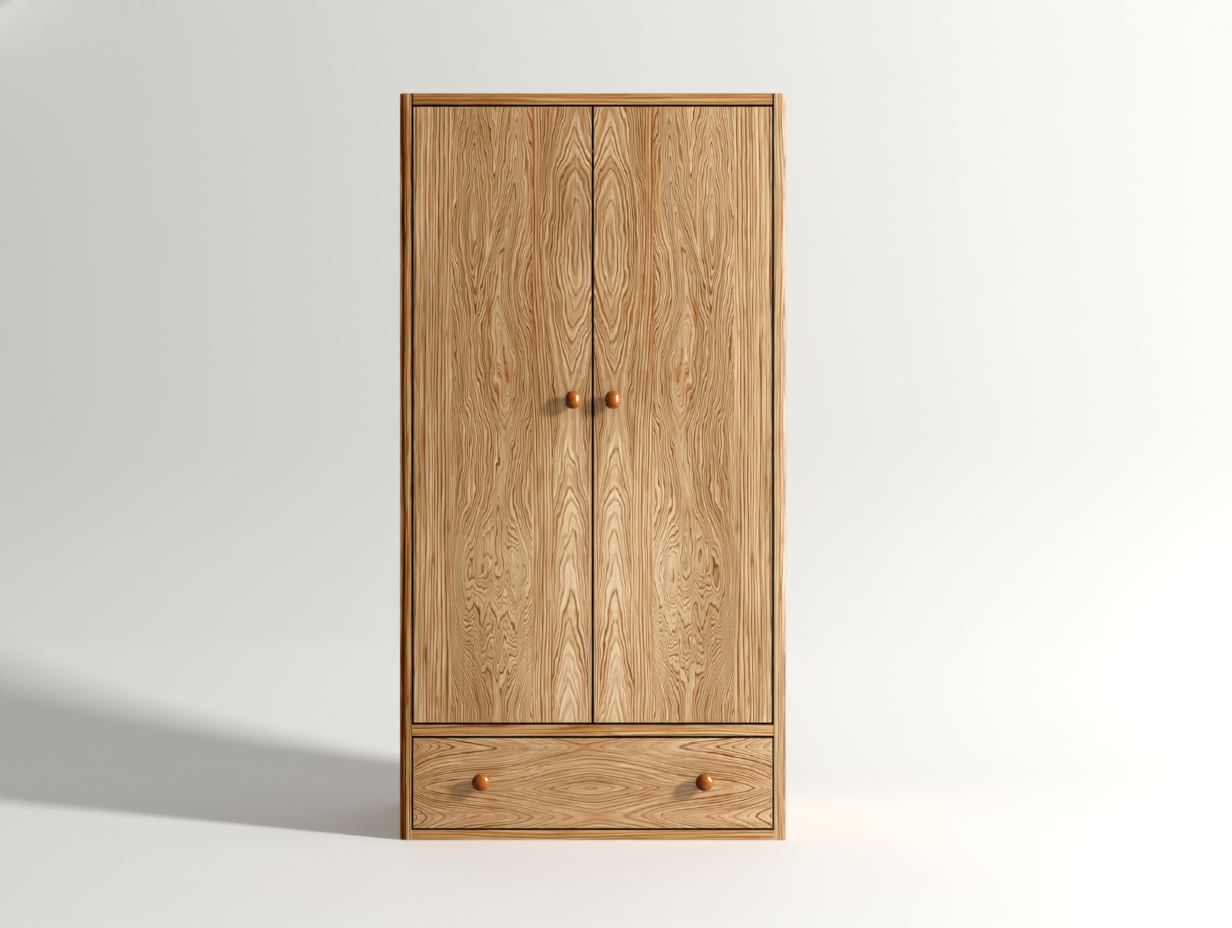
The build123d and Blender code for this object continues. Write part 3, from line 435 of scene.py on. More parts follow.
@dataclass(frozen=True)
class DoorFigure:
    """The grain figure of the door boards, in metres from the gap and the floor.

    Heights of the climbs are in rings, at shares of the door's height. Ramps are read along the height
    unless their names say otherwise.
    """

    bottom: float = 0.3035
    height: float = 1.592
    inner_edge: float = 0.157
    middle_edge: float = 0.364
    board_step: float = 200.0
    depth_slope: float = 60.0
    warp: Wave = Wave((9.0, 9.0, 1.6), reach=0.013, seed=1.0, layers=3.0, strength=0.6)
    shiver: Wave = Wave((45.0, 45.0, 12.0), reach=0.005, seed=2.0, layers=2.0)
    inner_axis: Ramp = Ramp(1.0, 1.6, 0.058, 0.043)
    axis_sway: Wave = Wave((0.0, 0.0, 3.0), reach=0.012, seed=9.0, layers=2.0)
    kink: Wave = Wave((20.0, 20.0, 9.0), reach=0.016, seed=10.0, layers=2.0)
    inner_ring: float = 0.0092
    inner_lines: Ramp = Ramp(1.0, 1.6, 0.95, 1.25)
    arch_column: Ramp = Ramp(1.0, 1.6, 0.042, 0.09)
    arch_tip: float = 0.005
    tip_slope: float = 0.5
    tip_lines: float = 0.8
    leg_phase: float = 0.4
    leg_ring: float = 0.0085
    leg_lines: float = 0.1
    line_share: float = 0.2
    line_width: float = 0.0025
    rate_step: float = 0.01
    most_climb: float = 10.0
    inner_climb: Curve = (
        (0.0, -7.5), (0.09, -5.0), (0.19, -2.0), (0.33, 1.0), (0.4, 4.0), (0.515, 5.9),
        (0.6, 4.0), (0.68, 1.0), (0.767, -0.6), (0.865, 1.0), (0.93, 4.0), (1.0, 6.2),
    )
    middle_axis: Curve = (
        (0.0, 0.25), (0.3, 0.25), (0.55, 0.225), (0.69, 0.245), (0.85, 0.205), (1.0, 0.195),
    )
    middle_ring: float = 0.006
    middle_lines: float = 1.2
    most_cups: float = 20.0
    middle_climb: Curve = (
        (0.0, 0.0), (0.07, 0.0), (0.31, 11.0), (0.45, 12.0),
        (0.58, 17.5), (0.7, 13.0), (0.8, 12.0), (1.0, 7.0),
    )
    flame_axis: float = 0.305
    flame_fade: Ramp = Ramp(0.9, 1.65, 0.157, 0.0)
    ruffle: Wave = Wave((30.0, 30.0, 14.0), reach=0.008, seed=8.0, layers=2.0)
    wild_rings: Wave = Wave((8.0, 8.0, 1.9), reach=4.0, seed=3.0)
    close_rings: Wave = Wave((24.0, 24.0, 6.0), reach=2.0, seed=4.0, layers=2.0)
    swirl: Patch = Patch((0.215, 1.21), (0.055, 0.14))
    swirl_rings: float = 3.0
    crush: Patch = Patch((0.25, 0.61), (0.15, 0.27))
    crush_slope: float = 8.0
    crush_lines: float = 0.4
    crush_sharpness: float = 0.9
    level_tip_aside: Ramp = Ramp(0.005, 0.02, 1.0, 0.0)
    tooth: float = 0.044
    tooth_shiver: float = 5.0
    tooth_bite: Wave = Wave((16.0, 16.0, 9.0), reach=240.0, seed=7.0, layers=2.0)
    outer_ring: float = 0.0098
    outer_wander: Wave = Wave((6.0, 6.0, 1.3), reach=1.8, seed=5.0, layers=2.0)
    outer_lines: float = 1.05
    base_tone: float = -0.22
    painted_light_to_right: float = 0.55
    outer_lift: float = 0.18
    low_lift: float = 0.72
    low_light: Ramp = Ramp(0.75, 1.2, 1.0, 0.0)
    low_light_aside: Ramp = Ramp(0.1, 0.3, 1.0, 0.0)
    seam_stain: Ramp = Ramp(0.8, 1.5, 0.25, 1.0)
    seam_stain_aside: Ramp = Ramp(0.003, 0.009, 0.65, 0.0)
    amber_streak: Patch = Patch((0.267, 1.36), (0.007, 0.055))
    blots: Wave = Wave((30.0, 30.0, 9.0), seed=6.0, layers=2.0)
    blot_edge_in_noise: Ramp = Ramp(0.45, 0.7)

    def group(self) -> Tree:
        """Build the node group.

        Returns:
            The group.
        """
        pad = Group("door_figure", PLACE_PORT, FIGURE_PORTS)
        place = pad.given["Place"]
        x, y, z = pad.split(place)
        beside = pad.math("ABSOLUTE", x)
        flat = pad.join(beside, y, z)
        shiver = pad.sway(place, self.shiver)
        swayed = pad.plus(beside, pad.sway(flat, self.warp))
        spot = DoorSpot(
            pad=pad,
            place=place,
            flat=flat,
            beside=beside,
            shiver=shiver,
            swayed=swayed,
            across=pad.plus(swayed, shiver),
            height=z,
            share=pad.math("DIVIDE", pad.minus(z, self.bottom), self.height),
        )
        swirl = self.swirl.mask(pad, beside, z)
        past_inner = pad.math("GREATER_THAN", beside, self.inner_edge)
        past_middle = pad.math("GREATER_THAN", beside, self.middle_edge)
        rings, lines, sharpness = (
            pad.choose(past_middle, pad.choose(past_inner, inner, middle), outer)
            for inner, middle, outer in zip(self._inner(spot), self._middle(spot, swirl), self._outer(spot))
        )
        # Painted light: the doors get lighter to the right, towards the key light.
        tone = pad.affine(x, self.painted_light_to_right, pad.affine(past_middle, self.outer_lift, self.base_tone))
        low_inner = pad.times(pad.ease(z, self.low_light), pad.ease(beside, self.low_light_aside))
        return pad.done(
            Rings=pad.affine(y, self.depth_slope, rings),
            Tone=pad.affine(low_inner, self.low_lift, tone),
            Lines=lines,
            Sharpness=sharpness,
            Stain=self._stain(spot, swirl),
        )

    def _inner(self, spot: DoorSpot) -> tuple[Fed, Fed, Fed]:
        """The inner board: arches in a column about its axis, straight lines beside them.

        Args:
            spot: The place that is read.

        Returns:
            The ring count, how strong the lines are and how sharp.
        """
        pad = spot.pad
        climb, next_climb = (
            pad.curve(pad.plus(spot.share, step), self.inner_climb, -self.most_climb, self.most_climb)
            for step in (0.0, self.rate_step)
        )
        rate_along = pad.affine(pad.minus(next_climb, climb), 1.0 / (self.rate_step * self.height))
        axis = pad.plus(pad.ease(spot.height, self.inner_axis), pad.sway(spot.flat, self.axis_sway))
        aside = pad.minus(pad.plus(spot.across, pad.sway(spot.place, self.kink)), axis)
        off = pad.soft_distance(aside, self.arch_tip)
        column = pad.ease(spot.height, self.arch_column)
        closeness = pad.affine(pad.math("DIVIDE", off, column), 1.0 - self.tip_slope, self.tip_slope)
        arches = pad.affine(pad.times(off, closeness), 1.0 / self.inner_ring, climb)
        steepness = pad.affine(closeness, 2.0, -self.tip_slope)
        rate_across = pad.times(steepness, pad.math("DIVIDE", aside, off), 1.0 / self.inner_ring)
        to_axis = pad.math("ABSOLUTE", pad.minus(spot.swayed, axis))
        legs = pad.affine(pad.minus(to_axis, column), 1.0 / self.leg_ring, self.leg_phase)
        past_column = pad.math("GREATER_THAN", off, column)
        rate = pad.choose(past_column, pad.length(rate_across, rate_along), 1.0 / self.leg_ring)
        fading = pad.ease(off, Ramp(self.arch_tip, column, self.tip_lines))
        lines = pad.times(pad.ease(spot.height, self.inner_lines), fading)
        return (
            pad.choose(past_column, arches, legs),
            pad.affine(past_column, self.leg_lines, lines),
            pad.math("DIVIDE", self.line_share / self.line_width, rate),
        )

    def _middle(self, spot: DoorSpot, swirl: Socket) -> tuple[Fed, Fed, Fed]:
        """The middle board: wild arches about a wandering axis, crushed into teeth low down.

        Args:
            spot: The place that is read.
            swirl: The mask of the swirl.

        Returns:
            The ring count, how strong the lines are and how sharp.
        """
        pad = spot.pad
        crush = self.crush.mask(pad, spot.beside, spot.height)
        wide = pad.sway(spot.flat, self.wild_rings)
        reach = pad.affine(swirl, self.swirl_rings, self.close_rings.reach)
        close = pad.swing(pad.noise(spot.flat, self.close_rings), reach)
        axis = pad.curve(spot.share, self.middle_axis, 0.0, self.middle_edge)
        ruffled = pad.plus(spot.across, pad.sway(spot.flat, self.ruffle))
        away = pad.soft_distance(pad.minus(ruffled, axis), self.arch_tip)
        flame = pad.soft_distance(pad.minus(ruffled, self.flame_axis), self.arch_tip)
        away = pad.least(away, pad.plus(flame, pad.ease(spot.height, self.flame_fade)))
        cups = pad.curve(spot.share, self.middle_climb, 0.0, self.most_cups)
        slope = pad.choose(crush, -1.0 / self.middle_ring, -self.crush_slope)
        shaken = pad.affine(spot.shiver, self.tooth_shiver, spot.beside)
        teeth = pad.math("PINGPONG", shaken, self.tooth / 2)
        bite = pad.times(pad.noise(spot.flat, self.tooth_bite), self.tooth_bite.reach)
        rings = pad.plus(pad.affine(away, slope, cups), wide, close, pad.times(teeth, bite, crush))
        level_run = pad.most(crush, pad.ease(away, self.level_tip_aside))
        return (
            pad.plus(rings, self.board_step),
            pad.affine(crush, self.crush_lines, self.middle_lines),
            pad.affine(level_run, self.crush_sharpness, 1.0),
        )

    def _outer(self, spot: DoorSpot) -> tuple[Fed, Fed, Fed]:
        """The outer board, which is nearly straight.

        Args:
            spot: The place that is read.

        Returns:
            The ring count, how strong the lines are and how sharp.
        """
        lean = spot.pad.sway(spot.flat, self.outer_wander)
        rings = spot.pad.affine(spot.swayed, 1.0 / self.outer_ring, lean)
        return spot.pad.plus(rings, 2 * self.board_step), self.outer_lines, 1.0

    def _stain(self, spot: DoorSpot, swirl: Socket) -> Socket:
        """The stained places: the seam between two boards, an amber streak and blots in the swirl.

        Args:
            spot: The place that is read.
            swirl: The mask of the swirl.

        Returns:
            A mask of the stain.
        """
        pad = spot.pad
        seam = pad.math("ABSOLUTE", pad.minus(spot.beside, self.inner_edge))
        band = pad.times(pad.ease(seam, self.seam_stain_aside), pad.ease(spot.height, self.seam_stain))
        amber = self.amber_streak.mask(pad, spot.across, spot.height)
        blots = pad.ease(pad.noise(spot.flat, self.blots), self.blot_edge_in_noise)
        return pad.most(band, amber, pad.times(swirl, blots))


@dataclass(frozen=True)
class DrawerFigure:
    """The grain figure of the drawer front: an eye in the middle, arches at the ends and corners.

    Sizes are in metres. Its climb is in rings, and it and the ramps are read at shares of the half width,
    unless their names say otherwise.
    """

    axis: float = 0.134
    half_width: float = 0.4635
    ridge_above: float = 0.106
    ridge_below: float = 0.074
    eye: float = 0.016
    eye_patch: Patch = Patch((0.0, 0.134), (0.16, 0.035))
    eye_lines: float = 0.3
    tip: float = 0.004
    tip_sharpness: float = 1.2
    level_tip_aside: Ramp = Ramp(0.004, 0.024, 1.0, 0.0)
    fold: float = 0.012
    ring: float = 0.008
    depth_slope: float = 60.0
    warp: Wave = Wave((2.6, 9.0, 9.0), reach=0.011, seed=11.0, layers=2.0)
    shiver: Wave = Wave((8.0, 40.0, 40.0), reach=0.0025, seed=12.0, layers=2.0)
    drift: Wave = Wave((3.5, 9.0, 9.0), reach=0.05, seed=13.0)
    most_climb: float = 12.0
    climb: Curve = (
        (0.0, 0.0), (0.13, 1.2), (0.25, 2.4), (0.46, 5.0), (0.84, 8.0), (0.93, 9.8), (1.0, 11.5),
    )
    lines: Ramp = Ramp(0.25, 0.9, 0.5, 1.3)
    tone: Ramp = Ramp(0.25, 0.9, -0.13, 0.12)
    painted_light_to_right: float = 0.8
    rust: Wave = Wave((9.0, 9.0, 70.0), seed=14.0, layers=2.0)
    rust_in_noise: Ramp = Ramp(0.5, 0.8, 0.0, 0.55)

    def group(self) -> Tree:
        """Build the node group.

        Returns:
            The group.
        """
        pad = Group("drawer_figure", PLACE_PORT, FIGURE_PORTS)
        place = pad.given["Place"]
        x, y, z = pad.split(place)
        rise = pad.plus(pad.minus(z, self.axis), pad.sway(place, self.warp), pad.sway(place, self.shiver))
        from_eye = pad.soft_distance(pad.plus(x, pad.sway(place, self.drift)), self.eye)
        share = pad.math("DIVIDE", from_eye, self.half_width)
        climb = pad.curve(share, self.climb, 0.0, self.most_climb)
        ridge = pad.choose(pad.math("GREATER_THAN", rise, 0.0), self.ridge_below, self.ridge_above)
        below_ridge = pad.minus(ridge, pad.soft_distance(rise, self.tip))
        fan = pad.minus(ridge, pad.soft_distance(below_ridge, self.fold))
        rings = pad.affine(fan, 1.0 / self.ring, climb)
        eye = self.eye_patch.mask(pad, x, z)
        nearest = pad.least(pad.math("ABSOLUTE", rise), pad.math("ABSOLUTE", below_ridge))
        return pad.done(
            Rings=pad.affine(y, self.depth_slope, rings),
            # Painted light: the drawer front gets lighter to the right, towards the key light.
            Tone=pad.affine(x, self.painted_light_to_right, pad.ease(share, self.tone)),
            Lines=pad.affine(eye, self.eye_lines, pad.ease(share, self.lines)),
            Sharpness=pad.affine(pad.ease(nearest, self.level_tip_aside), self.tip_sharpness, 1.0),
            Stain=pad.ease(pad.noise(place, self.rust), self.rust_in_noise),
        )


@dataclass(frozen=True)
class OakSurface:
    """Colour, roughness and height of oak from its ring count.

    The flow is a place by its ring count and its way along the board. Pairs and single values are shares,
    and each ramp is read in the noise that it is named for.
    """

    fibre: Wave = Wave((360.0, 360.0, 7.0), layers=2.0, strength=0.6)
    tuft: Wave = Wave((180.0, 180.0, 8.0), seed=2.0, layers=2.0, strength=0.6)
    fibre_ragged: float = 0.16
    tuft_ragged: float = 0.24
    spacing: Wave = Wave((0.27, 0.0, 0.0), reach=1.7, seed=9.0)
    line_chance: Pair = (0.95, 0.35)
    line: Curve = (
        (0.0, 0.0), (0.28, 0.03), (0.41, 0.78), (0.5, 1.0), (0.59, 0.8), (0.76, 0.15), (1.0, 0.0),
    )
    broken: Wave = Wave((0.8, 0.0, 7.0), layers=2.0)
    broken_line: Ramp = Ramp(0.34, 0.62, 0.35, 1.2)
    broken_hair: Ramp = Ramp(0.36, 0.6, 0.5, 0.0)
    hair: Curve = ((0.0, 0.0), (0.3, 0.1), (0.5, 1.0), (0.7, 0.3), (1.0, 0.0))
    hair_rate: float = 2.62
    pale_band: Curve = ((0.0, 0.3), (0.18, 1.0), (0.34, 0.3), (0.5, 0.0), (0.75, 0.1), (1.0, 0.3))
    pale_lift: float = 0.3
    streak: Wave = Wave((1.3, 0.0, 2.2), reach=1.05, seed=5.0, layers=3.0, strength=0.65)
    belt: Wave = Wave((0.28, 0.0, 0.9), reach=0.45, seed=6.0)
    fine: Wave = Wave((2.4, 0.0, 3.4), reach=1.5, seed=4.0, layers=3.0, strength=0.65)
    cloud: Wave = Wave((7.0, 7.0, 1.3), reach=0.5, layers=2.0)
    fibre_grit: float = 0.6
    tuft_grit: float = 0.5
    ground: float = 0.42
    darkest_ground: float = -0.5
    lightest_ground: float = 1.3
    pore: Wave = Wave((820.0, 820.0, 40.0))
    pore_edge: Ramp = Ramp(0.55, 0.68)
    pore_in_line: Pair = (0.75, 0.25)
    pore_mark: float = 0.3
    fleck: Wave = Wave((0.75, 0.0, 9.0), seed=8.0, layers=2.0)
    fleck_edge: Ramp = Ramp(0.55, 0.74, 0.0, 0.65)
    fleck_by_sharpness: Ramp = Ramp(1.0, 1.6, 1.0, 0.0)
    mark_powers: Pair = (1.82, 3.1)
    rust: Wave = Wave((0.4, 0.0, 3.0), seed=3.0, layers=3.0)
    rust_edge: Ramp = Ramp(0.5, 0.76, 0.0, 0.6)
    stain_depth: Triple = (0.14, 0.42, 0.66)
    line_roughness: float = 0.1
    fibre_roughness: float = 0.08
    line_height: float = -0.45
    fibre_height: float = 0.35

    def group(self) -> Tree:
        """Build the node group.

        Returns:
            The group.
        """
        numbers = (
            "Rings", "Tone", "Tan", "Brown", "Green Power", "Blue Power",
            "Line Strength", "Sharpness", "Stain", "Roughness", "Seed",
        )
        takes = {Port.VECTOR: ("Board",), Port.COLOUR: ("Pale",), Port.NUMBER: numbers}
        pad = Group("oak_surface", takes, SURFACE_PORTS)
        given = pad.given
        board, seed, sharpness = given["Board"], given["Seed"], given["Sharpness"]
        flow = pad.join(given["Rings"], 0.0, pad.split(board)[2])
        fibre = pad.noise(board, self.fibre, seed)
        tuft = pad.noise(board, self.tuft, seed)

        # Early wood: one ragged dark line in each ring, some strong, some weak, broken along their run
        ragged = pad.plus(pad.swing(fibre, self.fibre_ragged), pad.swing(tuft, self.tuft_ragged))
        rings = pad.plus(given["Rings"], ragged, pad.sway(flow, self.spacing, seed))
        count = pad.math("FLOOR", rings)
        phase = pad.minus(rings, count)
        chance = pad.add("ShaderNodeTexWhiteNoise", noise_dimensions="1D")
        pad.feed(chance.inputs["W"], pad.plus(count, seed))
        broken = pad.noise(flow, self.broken, seed)
        strength = pad.affine(chance.outputs["Value"], *self.line_chance)
        strength = pad.times(strength, pad.ease(broken, self.broken_line))
        from_middle = pad.minus(phase, RING_MIDDLE)
        narrowed = pad.math("MULTIPLY_ADD", from_middle, sharpness, RING_MIDDLE, clamp=True)
        line = pad.math("MULTIPLY", pad.curve(narrowed, self.line), strength, clamp=True)

        # Late wood: a pale band before each line and hairlines between
        narrowing = pad.most(sharpness, 1.0)
        between = pad.minus(pad.math("FRACT", pad.affine(rings, self.hair_rate, seed)), RING_MIDDLE)
        between = pad.math("MULTIPLY_ADD", between, narrowing, RING_MIDDLE, clamp=True)
        hair = pad.times(pad.curve(between, self.hair), pad.ease(broken, self.broken_hair))
        bands = pad.plus(*(pad.sway(flow, wave, seed) for wave in (self.streak, self.belt, self.fine)))
        bands = pad.affine(pad.curve(phase, self.pale_band), self.pale_lift, bands)

        # Ground: bands that follow the rings, clouds and fibres
        grit = pad.plus(pad.swing(fibre, self.fibre_grit), pad.swing(tuft, self.tuft_grit))
        grit = pad.plus(pad.sway(board, self.cloud, seed), grit)
        ground = pad.plus(given["Tone"], self.ground, pad.math("DIVIDE", bands, narrowing), grit)
        ground = pad.most(pad.least(ground, self.lightest_ground), self.darkest_ground)

        # Marks: lines, hairlines, flecks and pores
        pores = pad.ease(pad.noise(board, self.pore, seed), self.pore_edge)
        pores = pad.times(pores, pad.affine(line, *self.pore_in_line))
        flecks = pad.ease(pad.noise(flow, self.fleck, seed), self.fleck_edge)
        flecks = pad.times(flecks, pad.ease(sharpness, self.fleck_by_sharpness))
        lines = pad.times(pad.plus(pad.most(line, flecks), hair), given["Line Strength"])
        marks = pad.math("ADD", lines, pad.times(pores, self.pore_mark), clamp=True)

        # Colour: the darker the wood, the redder it is
        level = pad.affine(pad.minus(1.0, given["Tan"]), ground, given["Tan"])
        mark = pad.affine(marks, pad.minus(given["Brown"], 1.0), 1.0)
        tint = pad.tint(level, given["Green Power"], given["Blue Power"])
        colour = pad.vector("MULTIPLY", given["Pale"], tint)
        colour = pad.vector("MULTIPLY", colour, pad.tint(mark, *self.mark_powers))
        stain = pad.most(given["Stain"], pad.ease(pad.noise(flow, self.rust, seed), self.rust_edge))
        faded = pad.join(*(pad.affine(stain, -depth, 1.0) for depth in self.stain_depth))
        rough = pad.plus(pad.times(line, self.line_roughness), pad.swing(fibre, self.fibre_roughness))
        height = pad.plus(pad.times(fibre, self.fibre_height), pad.times(line, self.line_height))
        return pad.done(
            Colour=pad.vector("MULTIPLY", colour, faded),
            Roughness=pad.plus(given["Roughness"], rough),
            Height=pad.minus(height, pores),
        )


@dataclass(frozen=True)
class EdgeWear:
    """A mask along the edges of a board, from its two corners, that is wider in rubbed places."""

    rub: Wave = Wave((26.0, 26.0, 26.0), layers=3.0, strength=0.6)
    rubbed_width: Ramp = Ramp(0.3, 0.7, 0.2, 1.8)
    fade: Ramp = Ramp(0.0, 1.0, 1.0, 0.0)

    def group(self) -> Tree:
        """Build the node group.

        Returns:
            The group.
        """
        pad = Group("edge_wear", BOX_PORTS | {Port.NUMBER: ("Width",)}, {Port.NUMBER: ("Wear",)})
        place = pad.given["Place"]
        below = pad.vector("SUBTRACT", place, pad.given["Low"])
        above = pad.vector("SUBTRACT", pad.given["High"], place)
        sides = pad.split(pad.vector("ABSOLUTE", pad.vector("MINIMUM", below, above)))
        to_edge = pad.minus(pad.minus(pad.plus(*sides), pad.least(*sides)), pad.most(*sides))
        rub = pad.noise(place, self.rub)
        reach = pad.times(pad.given["Width"], pad.ease(rub, self.rubbed_width))
        return pad.done(Wear=pad.ease(pad.math("DIVIDE", to_edge, reach), self.fade))


@dataclass(frozen=True)
class GapShadeMask:
    """A mask of the narrow faces beside a gap, where an upright box has its sides: where painted shade
    goes.
    """

    beside: Ramp = Ramp(0.0007, 0.0015, 1.0, 0.0)
    behind: Ramp = Ramp(-GAP_SHADE_DEPTH / 2, 0.0, 1.0, 0.0)

    def group(self) -> Tree:
        """Build the node group.

        Returns:
            The group.
        """
        pad = Group("gap_shade_mask", BOX_PORTS, {Port.NUMBER: ("Edge",)})
        place = pad.given["Place"]
        below = pad.vector("SUBTRACT", pad.given["Low"], place)
        above = pad.vector("SUBTRACT", place, pad.given["High"])
        x, _, z = pad.split(pad.vector("MAXIMUM", below, above))
        to_side = pad.math("ABSOLUTE", pad.most(x, z))
        behind = pad.ease(pad.split(above)[1], self.behind)
        return pad.done(Edge=pad.times(pad.ease(to_side, self.beside), behind))


@dataclass(frozen=True)
class RubbedMetal:
    """Fine rubbing marks and dull clouds on metal or moulded plastic."""

    cloud: Wave = Wave((90.0, 90.0, 90.0), layers=3.0, strength=0.6)
    cloud_edge: Ramp = Ramp(0.42, 0.72)
    cloud_roughness: float = 0.14
    marks: Wave = Wave((60.0, 1400.0, 1400.0), reach=0.06, seed=3.0, layers=2.0)

    def group(self) -> Tree:
        """Build the node group.

        Returns:
            The group.
        """
        takes = PLACE_PORT | {Port.COLOUR: ("Bright", "Dull"), Port.NUMBER: ("Roughness",)}
        pad = Group("rubbed_metal", takes, SURFACE_PORTS)
        given = pad.given
        marks = pad.noise(given["Place"], self.marks)
        dulled = pad.ease(pad.noise(given["Place"], self.cloud), self.cloud_edge)
        rough = pad.plus(given["Roughness"], pad.times(dulled, self.cloud_roughness))
        return pad.done(
            Colour=pad.blend(dulled, given["Bright"], given["Dull"]),
            Roughness=pad.plus(rough, pad.swing(marks, self.marks.reach)),
            Height=marks,
        )


class Figure(Enum):
    """The ring pattern that a board shows."""

    LOG = "log"
    DOORS = "doors"
    DRAWER = "drawer"


class Effects:
    """The effects that several finishes share, each a node group that is built once."""

    def __init__(self) -> None:
        """Build every group."""
        self.log_rings = LogRings().group()
        self.figures = {Figure.DOORS: DoorFigure().group(), Figure.DRAWER: DrawerFigure().group()}
        self.oak_surface = OakSurface().group()
        self.edge_wear = EdgeWear().group()
        self.gap_shade_mask = GapShadeMask().group()
        self.rubbed_metal = RubbedMetal().group()


# Finishes

# Painted shade: the near-black colour painted on faces beside a gap, as the gap's shadow.
PAINTED_GAP_SHADE = (0.006, 0.003, 0.0015)
# A dark joint line: partly a dark joint, partly painted shadow of the joint.
JOINT_LINE_AND_SHADOW = (0.02, 0.006, 0.002)
OUT_OF_REACH = 1.0
DARKEST_TONE = -1.0
LIGHTEST_TONE = 1.0


class Lay(Enum):
    """How a board lies: the axes across and along its grain."""

    UPRIGHT_FRONT = ((1, 0, 0), (0, 0, 1))
    UPRIGHT_SIDE = ((0, 1, 0), (0, 0, 1))
    LEVEL_FRONT = ((0, 0, 1), (1, 0, 0))
    LEVEL_FLAT = ((0, 1, 0), (1, 0, 0))
    DEEP_SIDE = ((0, 0, 1), (0, 1, 0))

    def turn(self) -> Matrix:
        """The turn from the armoire's axes to across, depth and along."""
        across, along = (Vector(axis) for axis in self.value)
        return Matrix((across, along.cross(across), along))


def frame_opening() -> tuple[Vector, Vector]:
    """Find the opening that the doors and the drawer close.

    Returns:
        Its low and high corner.
    """
    left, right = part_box("left_side"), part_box("right_side")
    floor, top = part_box("bottom_rail"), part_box("top_board")
    return Vector((left[1].x, left[0].y, floor[1].z)), Vector((right[0].x, left[1].y, top[0].z))


class GapShade(Enum):
    """Which faces beside a gap get painted shade, near-black as the gap's shadow."""

    ROUND = "the board's edges"
    TOP = "the board's top edge"
    OPENING = "the edges of the opening in the frame"
    SIDE = "the edges of the opening and of the joint above it"

    def corners(self, low: Vector, high: Vector) -> tuple[Vector, Vector]:
        """Find the upright box whose sides get painted shade.

        Args:
            low: The board's low corner.
            high: The board's high corner.

        Returns:
            The box's low and high corner, the high one as deep as the painted shade.
        """
        top = high.z
        if self in (GapShade.OPENING, GapShade.SIDE):
            low, high = frame_opening()
        if self is GapShade.SIDE:
            high.z = top
        if self is GapShade.TOP:
            low = low - Vector((OUT_OF_REACH, 0.0, OUT_OF_REACH))
            high = high + Vector((OUT_OF_REACH, 0.0, 0.0))
        return low, Vector((high.x, low.y + GAP_SHADE_DEPTH, high.z))


@dataclass(frozen=True)
class Cut:
    """How a board was sawn from its log.

    The heart is where the log's middle passes, across and in depth from the board's middle. The tone at
    the board's middle is lighter above 0, and rises by the painted light slope for each metre along each
    axis, which paints light and shade as the key light falls. A board with painted shading has its tone
    drawn over its width instead, at shares of the width, which paints the light and shade of its rounded
    edges. The gap names which faces beside a gap get painted shade, and the joint line is a dark line at
    the board's ends that is partly painted shadow.
    """

    lay: Lay
    heart: Pair = (0.0, 0.07)
    seed: float = 0.0
    figure: Figure = Figure.LOG
    tone: float = 0.0
    lift: Triple = (0.0, 0.0, 0.0)
    painted_shading: Curve = ()
    gap: GapShade | None = None
    joint_line: float = 0.0


@dataclass(frozen=True)
class Board:
    """One board in the making: its material, how it was sawn, the shared effects and its corners."""

    pad: Dressing
    cut: Cut
    effects: Effects
    low: Vector
    high: Vector


